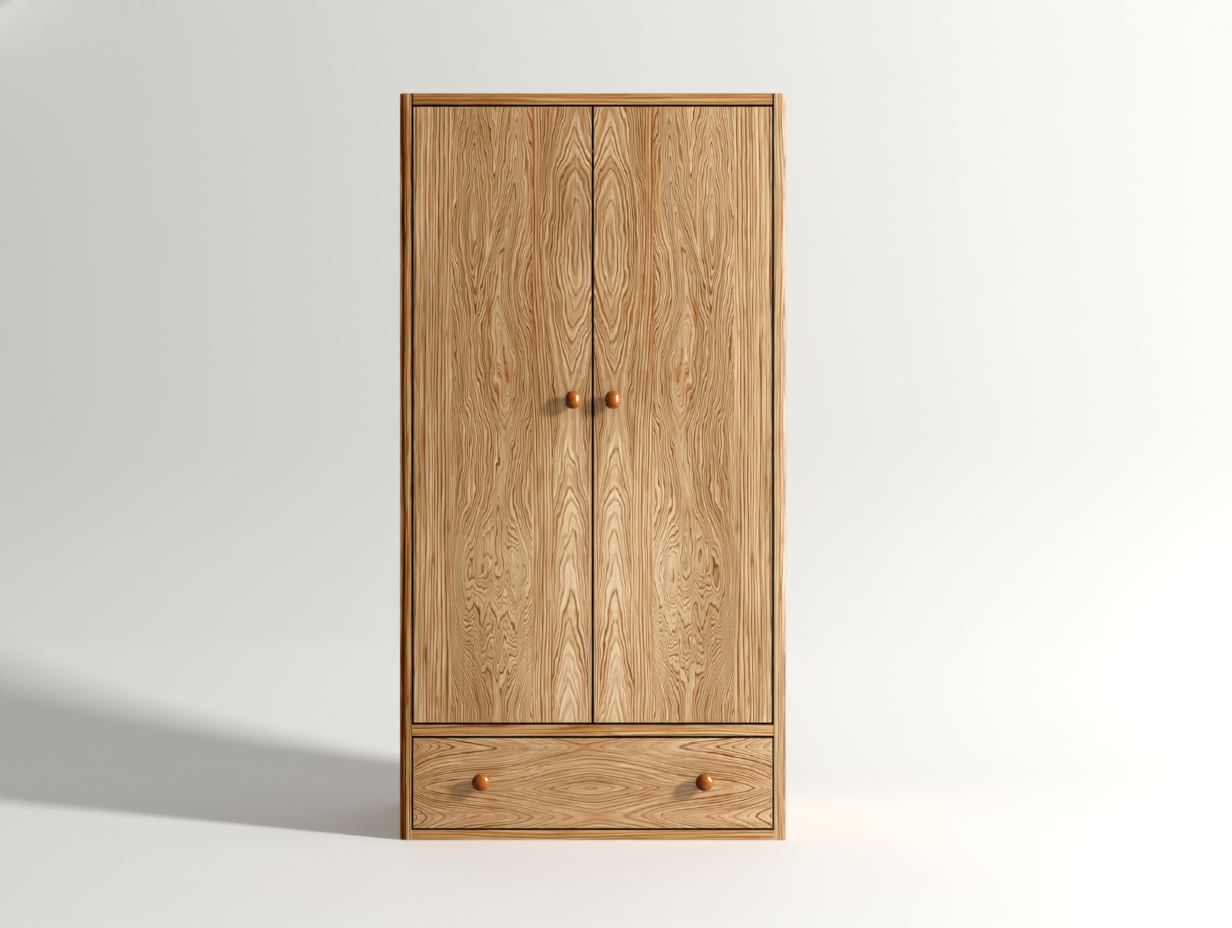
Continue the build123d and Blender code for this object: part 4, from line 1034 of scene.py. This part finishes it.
@dataclass(frozen=True)
class OakFinish:
    """An oiled or lacquered wood with visible rings.

    Tan and brown are how dark the ground and the lines get, as shares of the pale colour's red. Green and
    blue fall faster, by the powers in redden. The log's heart wanders by so many metres, and its rings
    ripple by so many rings. Worn edges show a share of the pale colour, and a joint line starts to fade at
    a share of its width.
    """

    slot: str
    pale: Triple
    tan: float
    brown: float
    look: str = ""
    redden: Pair = (1.42, 2.05)
    line_strength: float = 1.0
    ring_width: float = 0.006
    wander: float = 0.03
    ripple: float = 0.6
    roughness: float = 0.5
    coat: float = 0.0
    specular: float = 0.02
    sheen: float = 0.0
    coat_roughness: float = 0.35
    bump: float = 0.035
    bump_depth: float = 0.0006
    wear_width: float = 0.004
    wear_share: float = 0.3
    joint_fade: float = 0.6
    joint_share: float = 0.95

    def material(self, piece: str, cut: Cut, effects: Effects) -> Material:
        """Make the material of one board.

        Args:
            piece: The node that the board is.
            cut: How the board was sawn.
            effects: The shared node groups.

        Returns:
            The material.
        """
        pad = Dressing("_".join(filter(None, (self.slot, self.look, piece))))
        board = Board(pad, cut, effects, *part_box(piece))
        turn = cut.lay.turn()
        away = -(turn @ ((board.low + board.high) / 2))
        turned = pad.add("ShaderNodeMapping", pad.place, away, turn.to_euler(), vector_type="POINT")
        place = turned.outputs[0]
        surface = pad.use(
            effects.oak_surface,
            Board=place,
            Pale=self.pale,
            Tan=self.tan,
            Brown=self.brown,
            Green_Power=self.redden[0],
            Blue_Power=self.redden[1],
            Roughness=self.roughness,
            Seed=cut.seed,
            **self._grain(board, place),
        )
        colour, rough = self._edges(board, surface["Colour"], surface["Roughness"])
        pad.shade(
            Base_Color=colour,
            Roughness=rough,
            Specular_IOR_Level=self.specular,
            Sheen_Weight=self.sheen,
            Coat_Weight=self.coat,
            Coat_Roughness=self.coat_roughness,
        )
        pad.emboss(surface["Height"], self.bump, self.bump_depth)
        return pad.material

    def _grain(self, board: Board, place: Socket) -> dict[str, Fed]:
        """Lay out the rings of a board and its tone.

        Args:
            board: The board.
            place: The place on it, across, in depth and along.

        Returns:
            The inputs of the oak surface that follow from the cut.
        """
        pad, cut, effects = board.pad, board.cut, board.effects
        if cut.figure in effects.figures:
            shown = pad.use(effects.figures[cut.figure], Place=pad.place)
            grain = {name: shown[name] for name in ("Rings", "Tone", "Sharpness", "Stain")}
            return grain | {"Line_Strength": shown["Lines"]}
        rings = pad.use(
            effects.log_rings,
            Board=place,
            Heart=(*cut.heart, 0.0),
            Ring_Width=self.ring_width,
            Wander=self.wander,
            Ripple=self.ripple,
            Seed=cut.seed,
        )["Rings"]
        plain = {"Sharpness": 1.0, "Stain": 0.0, "Line_Strength": self.line_strength}
        return {"Rings": rings, "Tone": self._tone(board), **plain}

    @staticmethod
    def _tone(board: Board) -> Fed:
        """How light a board is over its length or width, as painted light and shade where it varies.

        Args:
            board: The board.

        Returns:
            The tone: a number, or a socket where it varies.
        """
        pad, cut = board.pad, board.cut
        lift = Vector(cut.lift)
        if cut.painted_shading:
            width = board.high.x - board.low.x
            share = pad.affine(pad.split(pad.place)[0], 1.0 / width, -board.low.x / width)
            return pad.curve(share, cut.painted_shading, DARKEST_TONE, LIGHTEST_TONE)
        if not lift.length:
            return cut.tone
        risen = pad.vector("DOT_PRODUCT", pad.place, lift, gives="Value")
        return pad.plus(risen, cut.tone - lift.dot((board.low + board.high) / 2))

    def _edges(self, board: Board, colour: Socket, rough: Socket) -> tuple[Socket, Socket]:
        """Wear a board's edges, paint shade on the faces beside gaps, and darken joints with a line that is
        partly painted shadow.

        Args:
            board: The board.
            colour: Its colour.
            rough: Its roughness.

        Returns:
            The colour and the roughness with the edges.
        """
        pad, cut, low, high = board.pad, board.cut, board.low, board.high
        if self.wear_width:
            box = {"Place": pad.place, "Low": low, "High": high}
            wear = pad.use(board.effects.edge_wear, **box, Width=self.wear_width)["Wear"]
            colour = pad.blend(pad.times(wear, self.wear_share), colour, self.pale)
        # A dark joint line at the board's ends, made matt: partly a dark joint, partly painted shadow of
        # the joint.
        if cut.joint_line:
            x = pad.split(pad.place)[0]
            to_end = pad.least(pad.minus(x, low.x), pad.minus(high.x, x))
            fade = Ramp(cut.joint_line * self.joint_fade, cut.joint_line, self.joint_share, 0.0)
            line = pad.ease(to_end, fade)
            colour = pad.blend(line, colour, JOINT_LINE_AND_SHADOW)
            rough = pad.most(rough, line)
        # Painted shade: the faces beside a gap are painted near-black and matt, as the gap's shadow.
        if cut.gap:
            inner, outer = cut.gap.corners(low, high)
            edge = pad.use(board.effects.gap_shade_mask, Place=pad.place, Low=inner, High=outer)["Edge"]
            colour = pad.blend(edge, colour, PAINTED_GAP_SHADE)
            rough = pad.most(rough, edge)
        return colour, rough


@dataclass(frozen=True)
class HardFinish:
    """A metal or a moulded plastic. Its gap shade reach is how far behind the front of the opening it is
    painted dark as shade, in metres.
    """

    slot: str
    bright: Triple
    dull: Triple
    metallic: float
    roughness: float
    bump: float = 0.05
    bump_depth: float = 0.0002
    specular: float = 0.5
    gap_shade_reach: float = 0.0

    def material(self, effects: Effects) -> Material:
        """Make the finish's one material.

        Args:
            effects: The shared node groups.

        Returns:
            The material.
        """
        pad = Dressing(self.slot)
        looks = {"Bright": self.bright, "Dull": self.dull, "Roughness": self.roughness}
        marks = pad.use(effects.rubbed_metal, Place=pad.place, **looks)
        colour, metallic = marks["Colour"], self.metallic
        # Painted shade: where the fitting sits in a gap it is painted near-black and not metallic, as the
        # gap's shadow.
        if self.gap_shade_reach:
            behind = pad.split(pad.vector("SUBTRACT", pad.place, frame_opening()[0]))[1]
            dark = pad.ease(behind, Ramp(self.gap_shade_reach / 2, self.gap_shade_reach, 1.0, 0.0))
            colour = pad.blend(dark, colour, PAINTED_GAP_SHADE)
            metallic = pad.affine(dark, -self.metallic, self.metallic)
        pad.shade(
            Base_Color=colour,
            Roughness=marks["Roughness"],
            Specular_IOR_Level=self.specular,
            Metallic=metallic,
        )
        pad.emboss(marks["Height"], self.bump, self.bump_depth)
        return pad.material


OAK_FRAME = OakFinish(
    "oak_frame",
    pale=(0.62, 0.415, 0.21),
    tan=0.62,
    brown=0.42,
    redden=(1.7, 2.75),
    line_strength=0.8,
    wander=0.02,
    ripple=0.5,
)
OAK_SIDES = replace(OAK_FRAME, ring_width=0.005, wander=0.012, ripple=0.6)
# The left side is a darker copy of the sides' finish with stronger stripes, partly painted shade; the right
# side is a paler, less red copy as painted light, with a real soft sheen.
OAK_SHADED_LEFT_SIDE = replace(OAK_SIDES, look="striped", tan=0.47, brown=0.34, line_strength=1.2)
OAK_LIT_RIGHT_SIDE = replace(
    OAK_SIDES,
    look="pale",
    pale=(0.6, 0.441, 0.272),
    redden=(1.35, 1.75),
    line_strength=1.0,
    sheen=0.3,
    wear_width=0.0,
)
OAK_TOP = replace(OAK_SIDES, look="calm", line_strength=0.45, ring_width=0.0065)
OAK_DOORS = OakFinish("oak_doors", pale=(0.67, 0.5, 0.325), tan=0.62, brown=0.42)
OAK_DRAWER = OakFinish("oak_drawer_front", pale=(0.664, 0.467, 0.288), tan=0.62, brown=0.38)
OAK_INSIDE = OakFinish(
    "oak_interior", pale=(0.62, 0.46, 0.29), tan=0.82, brown=0.55, line_strength=0.5, roughness=0.58
)
OAK_FLOOR = replace(OAK_INSIDE, ring_width=0.007, wander=0.05, ripple=0.8)
OAK_CLEAT = replace(OAK_INSIDE, wander=0.01, ripple=0.4)
OAK_REAR_RAIL = replace(OAK_INSIDE, wander=0.02, ripple=0.5)
OAK_WALL_RAIL = replace(OAK_INSIDE, ring_width=0.0065)
BACK_BOARD = OakFinish(
    "back_board",
    pale=(0.6, 0.44, 0.27),
    tan=0.82,
    brown=0.57,
    line_strength=0.45,
    ring_width=0.012,
    wander=0.09,
    ripple=1.2,
    roughness=0.6,
)
BEECH = OakFinish(
    "beech",
    pale=(0.66, 0.46, 0.3),
    tan=0.87,
    brown=0.64,
    line_strength=0.3,
    ring_width=0.004,
    wander=0.01,
    ripple=0.4,
    roughness=0.55,
)
KNOB_WOOD = OakFinish(
    "knob_wood",
    pale=(0.41, 0.124, 0.018),
    tan=0.5,
    brown=0.45,
    line_strength=0.35,
    ring_width=0.0035,
    wander=0.004,
    ripple=0.4,
    roughness=0.27,
    coat=0.12,
    specular=0.05,
    coat_roughness=0.12,
    bump=0.04,
    wear_width=0.0,
)
BRASS = HardFinish(
    "hinge_brass",
    bright=(0.3, 0.2, 0.09),
    dull=(0.16, 0.1, 0.045),
    metallic=1.0,
    roughness=0.38,
    specular=0.05,
    gap_shade_reach=0.03,
)
CHROME = HardFinish(
    "rail_steel", bright=(0.78, 0.78, 0.8), dull=(0.62, 0.62, 0.64), metallic=1.0, roughness=0.12
)
ZINC = HardFinish(
    "screw_steel", bright=(0.66, 0.65, 0.62), dull=(0.45, 0.44, 0.41), metallic=1.0, roughness=0.34
)
PLASTIC = HardFinish(
    "catch_plastic",
    bright=(0.1, 0.045, 0.022),
    dull=(0.14, 0.07, 0.04),
    metallic=0.0,
    roughness=0.42,
    bump=0.15,
)


# Sub-assemblies


@dataclass
class Workshop:
    """The shared effects and the materials of metals and plastics, each made once."""

    effects: Effects = field(default_factory=Effects)
    made: dict[str, Material] = field(default_factory=dict)

    def hard(self, finish: HardFinish) -> Material:
        """Make the material of a metal or plastic at its first use.

        Args:
            finish: The finish.

        Returns:
            Its material.
        """
        if finish.slot not in self.made:
            self.made[finish.slot] = finish.material(self.effects)
        return self.made[finish.slot]


def paint(node: str, material: Material) -> None:
    """Give a CAD node its finish, through its object's material slots.

    Args:
        node: The node's name.
        material: The finish.
    """
    piece = frame["nodes"][node]
    if not piece.material_slots:
        piece.data.materials.append(material)
    for place in piece.material_slots:
        place.material = material
    LOG.info("%s dressed in %s", node, material.name)


def place_mesh(name: str, shape: bmesh.types.BMesh, material: Material) -> bpy.types.Object:
    """Put a modelled piece in the scene.

    Args:
        name: The piece's name.
        shape: Its mesh, which is used up.
        material: Its finish.

    Returns:
        The piece.
    """
    mesh = bpy.data.meshes.new(name)
    shape.to_mesh(mesh)
    shape.free()
    mesh.materials.append(material)
    piece = bpy.data.objects.new(name, mesh)
    bpy.context.scene.collection.objects.link(piece)
    return piece


@dataclass
class Knob:
    """A turned knob on a front.

    Its profile is at shares of its length, with radii as shares of its half width. Its section is round
    at a squareness of 2 and boxy above it.
    """

    node: str
    body: str
    squareness: float = 2.0
    steps: int = 96
    merge_distance: float = 1e-5
    seed_rate: float = 10.0
    # Painted shade: the knob is darker to its left and bottom and lighter to its right and top, by its
    # painted light slope.
    cut: Cut = Cut(Lay.DEEP_SIDE, heart=(0.05, 0.03), tone=-0.1, lift=(70.0, 0.0, 18.0))
    profile: Curve = (
        (0.0, 0.43), (0.012, 0.435), (0.05, 0.42), (0.12, 0.415), (0.2, 0.43), (0.26, 0.5),
        (0.31, 0.64), (0.37, 0.8), (0.44, 0.92), (0.52, 0.985), (0.59, 1.0), (0.67, 0.975),
        (0.75, 0.9), (0.83, 0.775), (0.9, 0.605), (0.955, 0.41), (0.988, 0.21), (1.0, 0.0),
    )

    def build(self, workshop: Workshop) -> None:
        """Turn the knob and put it in its node's place.

        Args:
            workshop: Where its finish is made.
        """
        low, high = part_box(self.node)
        middle = (low + high) / 2
        size = high - low
        shape = bmesh.new()
        rim = [shape.verts.new((radius, along, 0.0)) for along, radius in self.profile]
        for pair in zip(rim, rim[1:]):
            shape.edges.new(pair)
        bmesh.ops.spin(
            shape,
            geom=shape.verts[:] + shape.edges[:],
            cent=(0.0, 0.0, 0.0),
            axis=(0.0, 1.0, 0.0),
            angle=math.tau,
            steps=self.steps,
            use_merge=True,
        )
        bmesh.ops.remove_doubles(shape, verts=shape.verts[:], dist=self.merge_distance)
        bmesh.ops.holes_fill(shape, edges=[edge for edge in shape.edges if edge.is_boundary])
        self._square_off(shape)
        bmesh.ops.scale(shape, vec=(size.x / 2, -size.y, size.z / 2), verts=shape.verts[:])
        bmesh.ops.translate(shape, vec=(middle.x, high.y, middle.z), verts=shape.verts[:])
        bmesh.ops.recalc_face_normals(shape, faces=shape.faces[:])
        # The foot is one flat face of many corners
        for face in shape.faces:
            face.smooth = len(face.verts) <= 4
        cut = replace(self.cut, seed=middle.x * self.seed_rate)
        finish = KNOB_WOOD.material(self.node, cut, workshop.effects)
        knob = place_mesh(f"{self.node}_turned", shape, finish)
        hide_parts(self.node)
        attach(knob, self.body)
        LOG.info("%s turned on %s", knob.name, self.body)

    def _square_off(self, shape: bmesh.types.BMesh) -> None:
        """Swell the corners of the turned shape.

        Args:
            shape: The shape, round about its Y axis.
        """
        for vert in shape.verts:
            flat = Vector((vert.co.x, vert.co.z))
            if flat.length:
                aim = flat.normalized()
                total = abs(aim.x) ** self.squareness + abs(aim.y) ** self.squareness
                swell = total ** (-1.0 / self.squareness)
                vert.co.x *= swell
                vert.co.z *= swell


class Hand(Enum):
    """The left or the right one of a pair."""

    LEFT = "left"
    RIGHT = "right"


@dataclass
class Assembly:
    """A sub-assembly: how its boards are finished and cut, and what its fittings are made of, by node."""

    cuts: dict[str, tuple[OakFinish, Cut]] = field(default_factory=dict)
    fittings: dict[str, HardFinish] = field(default_factory=dict)

    def dress(self, workshop: Workshop) -> None:
        """Finish every board and fitting.

        Args:
            workshop: Where the finishes are made.
        """
        for node, (finish, cut) in self.cuts.items():
            paint(node, finish.material(node, cut, workshop.effects))
        for node, finish in self.fittings.items():
            paint(node, workshop.hard(finish))


@dataclass
class Carcass(Assembly):
    """The frame of boards with its inside, back and fittings."""

    # Painted light and shade across the sides' widths, from their left edge: a dark band on the left side's
    # rounded edge as painted shade, its outermost rim lighter; the right side lighter as painted light,
    # less so at its outer edge.
    left_painted_shading: Curve = (
        (0.0, 1.0), (0.12, 0.5), (0.22, -0.3), (0.36, -0.95), (0.5, -0.7), (0.64, 0.0), (1.0, 0.15),
    )
    right_painted_shading: Curve = ((0.0, 0.35), (0.35, 0.4), (0.55, 0.3), (0.7, 0.1), (0.85, 0.0), (1.0, 0.05))

    def __post_init__(self) -> None:
        """Name the finishes of the carcass's nodes."""
        sides = Cut(Lay.UPRIGHT_SIDE, gap=GapShade.SIDE)
        left = replace(sides, heart=(-0.38, 0.12), seed=3.1, painted_shading=self.left_painted_shading)
        right = replace(sides, heart=(-0.38, -0.12), seed=5.7, painted_shading=self.right_painted_shading)
        # Painted light: the top and rails get lighter to the right, towards the key light, by their painted
        # light slope.
        top = Cut(Lay.LEVEL_FLAT, heart=(-0.2, -0.1), seed=8.2, tone=-0.46, lift=(0.62, 0.0, 0.0))
        middle = Cut(Lay.LEVEL_FRONT, heart=(0.02, 0.06), seed=11.4, tone=0.1, lift=(1.45, 0.0, 0.0))
        bottom = Cut(Lay.LEVEL_FRONT, heart=(-0.03, 0.07), seed=14.9, tone=-0.12, lift=(0.4, 0.0, 0.0))
        self.cuts = {
            "left_side": (OAK_SHADED_LEFT_SIDE, left),
            "right_side": (OAK_LIT_RIGHT_SIDE, right),
            "top_board": (OAK_TOP, replace(top, gap=GapShade.OPENING, joint_line=0.0055)),
            "middle_rail": (OAK_FRAME, replace(middle, gap=GapShade.ROUND)),
            "bottom_rail": (OAK_FRAME, replace(bottom, gap=GapShade.OPENING)),
            "wardrobe_floor": (OAK_FLOOR, Cut(Lay.LEVEL_FLAT, heart=(0.05, -0.09), seed=17.3)),
            "left_floor_cleat": (OAK_CLEAT, Cut(Lay.DEEP_SIDE, heart=(0.05, 0.05), seed=19.1)),
            "right_floor_cleat": (OAK_CLEAT, Cut(Lay.DEEP_SIDE, heart=(0.04, 0.06), seed=21.8)),
            "rear_bottom_rail": (OAK_REAR_RAIL, Cut(Lay.LEVEL_FLAT, heart=(0.03, 0.06), seed=23.6)),
            "wall_fixing_rail": (OAK_WALL_RAIL, Cut(Lay.LEVEL_FRONT, heart=(0.01, 0.07), seed=26.2)),
            "base_panel": (BACK_BOARD, Cut(Lay.LEVEL_FLAT, heart=(0.1, 0.12), seed=28.5)),
            "back_panel": (BACK_BOARD, Cut(Lay.UPRIGHT_FRONT, heart=(0.12, 0.11), seed=31.7)),
            "left_drawer_runner": (BEECH, Cut(Lay.DEEP_SIDE, heart=(0.05, 0.05), seed=33.3)),
            "right_drawer_runner": (BEECH, Cut(Lay.DEEP_SIDE, heart=(0.04, 0.06), seed=35.9)),
            "carcass_dowels": (BEECH, Cut(Lay.LEVEL_FRONT, heart=(0.05, 0.05), seed=37.4)),
        }
        for hand in Hand:
            self.fittings |= {
                f"{hand.value}_rail_socket": CHROME,
                f"{hand.value}_catch": PLASTIC,
                f"{hand.value}_top_frame_leaf": BRASS,
                f"{hand.value}_bottom_frame_leaf": BRASS,
            }
        self.fittings |= {"clothes_rail": CHROME, "hinge_bushes": BRASS, "frame_leaf_screws": BRASS}
        for fixed in ("rail_socket", "runner", "cleat", "back_panel", "catch"):
            self.fittings[f"{fixed}_screws"] = ZINC


@dataclass
class Door(Assembly):
    """One door with its knob, hinge leaves and strike plate."""

    hand: Hand = Hand.LEFT
    seed: float = 61.0
    knob_squareness: float = 2.6

    def __post_init__(self) -> None:
        """Name the finishes of this hand's nodes."""
        side = self.hand.value
        cut = Cut(Lay.UPRIGHT_FRONT, seed=self.seed, figure=Figure.DOORS, gap=GapShade.ROUND)
        self.cuts = {f"{side}_door": (OAK_DOORS, cut)}
        for part in ("top_door_leaf", "bottom_door_leaf", "door_leaf_screws"):
            self.fittings[f"{side}_{part}"] = BRASS
        for part in ("strike_plate", "strike_screws", "door_knob_screw"):
            self.fittings[f"{side}_{part}"] = ZINC

    def dress(self, workshop: Workshop) -> None:
        """Finish the door and turn its knob.

        Args:
            workshop: Where the finishes are made.
        """
        super().dress(workshop)
        body = f"{self.hand.value}_door"
        Knob(f"{body}_knob", body, self.knob_squareness).build(workshop)


@dataclass
class Drawer(Assembly):
    """The drawer: its front with two knobs, box and stops."""

    body: str = "drawer"

    def __post_init__(self) -> None:
        """Name the finishes of the drawer's nodes."""
        front = Cut(Lay.LEVEL_FRONT, seed=41.3, figure=Figure.DRAWER, gap=GapShade.TOP)
        self.cuts = {
            "drawer_front": (OAK_DRAWER, front),
            "left_drawer_side": (OAK_INSIDE, Cut(Lay.DEEP_SIDE, heart=(0.02, 0.07), seed=43.8)),
            "right_drawer_side": (OAK_INSIDE, Cut(Lay.DEEP_SIDE, heart=(-0.02, 0.07), seed=46.1)),
            "drawer_back": (OAK_INSIDE, Cut(Lay.LEVEL_FRONT, heart=(0.02, 0.07), seed=48.7)),
            "drawer_bottom": (BACK_BOARD, Cut(Lay.LEVEL_FLAT, heart=(0.08, 0.12), seed=51.2)),
            "left_stop_block": (BEECH, Cut(Lay.UPRIGHT_FRONT, heart=(0.05, 0.05), seed=53.6)),
            "right_stop_block": (BEECH, Cut(Lay.UPRIGHT_FRONT, heart=(0.04, 0.06), seed=55.4)),
        }
        for fixed in ("drawer_knob", "drawer_bottom", "stop_block"):
            self.fittings[f"{fixed}_screws"] = ZINC

    def dress(self, workshop: Workshop) -> None:
        """Finish the drawer and turn its knobs.

        Args:
            workshop: Where the finishes are made.
        """
        super().dress(workshop)
        for hand in Hand:
            Knob(f"{hand.value}_drawer_knob", self.body).build(workshop)


# Stage, light and camera


@dataclass
class Stage:
    """A pale floor that curves up into a backdrop behind the armoire."""

    half_width: float = 30.0
    near: float = -7.0
    cove_start: float = 0.7
    cove_radius: float = 4.5
    cove_steps: int = 40
    wall_top: float = 8.0
    rear_floor_height: float = -0.002
    floor_colour: Triple = (0.89, 0.895, 0.888)
    wall_colour: Triple = (0.79, 0.79, 0.778)
    wall_colour_rise: Ramp = Ramp(0.0, 1.2)
    roughness: float = 0.85

    def build(self) -> None:
        """Lay the floor and raise the backdrop, then lay a floor behind it for views from the rear."""
        shape = bmesh.new()
        line = [(self.near, 0.0), (self.cove_start, 0.0)]
        for step in range(1, self.cove_steps + 1):
            angle = math.pi / 2 * step / self.cove_steps
            y = self.cove_start + self.cove_radius * math.sin(angle)
            line.append((y, self.cove_radius * (1 - math.cos(angle))))
        line.append((self.cove_start + self.cove_radius, self.wall_top))
        verts = [shape.verts.new((-self.half_width, y, z)) for y, z in line]
        edges = [shape.edges.new(pair) for pair in zip(verts, verts[1:])]
        grown = bmesh.ops.extrude_edge_only(shape, edges=edges)["geom"]
        moved = [item for item in grown if isinstance(item, bmesh.types.BMVert)]
        bmesh.ops.translate(shape, vec=(2 * self.half_width, 0.0, 0.0), verts=moved)
        bmesh.ops.recalc_face_normals(shape, faces=shape.faces[:])
        if shape.faces[:][0].normal.z < 0:
            bmesh.ops.reverse_faces(shape, faces=shape.faces[:])
        for face in shape.faces:
            face.smooth = True
        place_mesh("backdrop", shape, self._paper("backdrop_paper", True))
        ground = bmesh.new()
        bmesh.ops.create_grid(ground, x_segments=2, y_segments=2, size=self.half_width)
        behind = (0.0, self.cove_start + self.half_width, self.rear_floor_height)
        bmesh.ops.translate(ground, vec=behind, verts=ground.verts[:])
        place_mesh("rear_floor", ground, self._paper("rear_floor_paper", False))

    def _paper(self, name: str, one_sided: bool) -> Material:
        """Make matt paper.

        Args:
            name: The material's name.
            one_sided: Whether it is clear from behind and lets light through.

        Returns:
            The material.
        """
        pad = Dressing(name)
        climb = pad.ease(pad.split(pad.place)[2], self.wall_colour_rise)
        colour = pad.blend(climb, self.floor_colour, self.wall_colour)
        pad.shade(Base_Color=colour, Roughness=self.roughness, Specular_IOR_Level=0.0)
        if one_sided:
            clear = pad.add("ShaderNodeBsdfTransparent").outputs[0]
            behind = pad.add("ShaderNodeNewGeometry").outputs["Backfacing"]
            shadow = pad.add("ShaderNodeLightPath").outputs["Is Shadow Ray"]
            mix = pad.add("ShaderNodeMixShader", pad.most(behind, shadow), pad.shader.outputs[0], clear)
            pad.feed(pad.tree.nodes["Material Output"].inputs[0], mix.outputs[0])
        return pad.material


@dataclass(frozen=True)
class Lamp:
    """A soft light: its name, power in watts, width and height, and its place from what it faces.

    Its azimuth is to the right of the front and its elevation is above the floor, both in degrees.
    """

    name: str
    power: float
    size: Pair
    azimuth: float
    elevation: float
    distance: float
    colour: Triple = (1.0, 0.995, 0.985)

    def hang(self, target: Vector) -> bpy.types.Object:
        """Hang the light.

        Args:
            target: What it faces.

        Returns:
            The light.
        """
        turn, rise = math.radians(self.azimuth), math.radians(self.elevation)
        aim = Vector((math.sin(turn) * math.cos(rise), -math.cos(turn) * math.cos(rise), math.sin(rise)))
        lamp = bpy.data.lights.new(self.name, "AREA")
        lamp.shape = "RECTANGLE"
        lamp.size, lamp.size_y = self.size
        lamp.energy = self.power
        lamp.color = self.colour
        holder = bpy.data.objects.new(self.name, lamp)
        holder.location = target + aim * self.distance
        holder.rotation_euler = (-aim).to_track_quat("-Z", "Y").to_euler()
        bpy.context.scene.collection.objects.link(holder)
        return holder


@dataclass
class StudioLight:
    """A soft key from the right, a light that only gloss shows, a weak fill behind and an even surround."""

    target: Triple = (0.0, -0.27, 0.95)
    key: Lamp = Lamp(
        "key_light", power=1050.0, size=(1.0, 1.8), azimuth=63.5, elevation=19.5, distance=9.0
    )
    gloss: Lamp = Lamp(
        "gloss_light", power=1500.0, size=(1.2, 2.4), azimuth=76.0, elevation=14.0, distance=3.5
    )
    back: Lamp = Lamp(
        "back_light", power=35.0, size=(2.5, 2.5), azimuth=-156.93, elevation=14.5, distance=6.59
    )
    surround: float = 0.33
    surround_seen: float = 0.78
    surround_colour: Triple = (1.0, 0.99, 0.97)

    def build(self) -> None:
        """Hang the lights and set the surround, which the camera sees brighter than it shines."""
        target = Vector(self.target)
        self.key.hang(target)
        self.gloss.hang(target).visible_diffuse = False
        self.back.hang(target)
        world = bpy.data.worlds.new("surround")
        world.use_nodes = True
        pad = Pad(world.node_tree)
        backing = pad.tree.nodes["Background"]
        pad.feed(backing.inputs["Color"], self.surround_colour)
        seen = pad.add("ShaderNodeLightPath").outputs["Is Camera Ray"]
        strength = pad.affine(seen, self.surround_seen - self.surround, self.surround)
        pad.feed(backing.inputs["Strength"], strength)
        bpy.context.scene.world = world


@dataclass
class PhotoCamera:
    """The photograph's camera: level, square to the front, a little right of the middle."""

    across: float = 0.060
    height: float = 0.972
    front: float = -0.270
    distance: float = 5.0
    frame_width: float = 3.183
    sensor: float = 36.0

    def build(self) -> None:
        """Set up the camera and make it the scene's."""
        lens = bpy.data.cameras.new("photo_camera")
        lens.sensor_fit = "HORIZONTAL"
        lens.sensor_width = self.sensor
        lens.lens = self.sensor * self.distance / self.frame_width
        holder = bpy.data.objects.new("photo_camera", lens)
        holder.location = (self.across, self.front - self.distance, self.height)
        holder.rotation_euler = (math.pi / 2, 0.0, 0.0)
        bpy.context.scene.collection.objects.link(holder)
        bpy.context.scene.camera = holder


def clear_start_up_objects() -> None:
    """Remove what a new file starts with, apart from the CAD nodes and bodies."""
    kept = set(frame["nodes"].values()) | set(frame["bodies"].values())
    for item in list(bpy.data.objects):
        if item not in kept:
            bpy.data.objects.remove(item)


def main() -> None:
    """Build and dress the armoire, then its stage, light and camera."""
    logging.basicConfig(level=logging.INFO, format="%(name)s: %(message)s")
    clear_start_up_objects()
    bpy.context.scene.view_settings.view_transform = "Standard"
    workshop = Workshop()
    assemblies = [Carcass(), *(Door(hand=hand) for hand in Hand), Drawer()]
    for assembly in assemblies:
        assembly.dress(workshop)
    Stage().build()
    StudioLight().build()
    PhotoCamera().build()


if __name__ == "__main__":
    main()
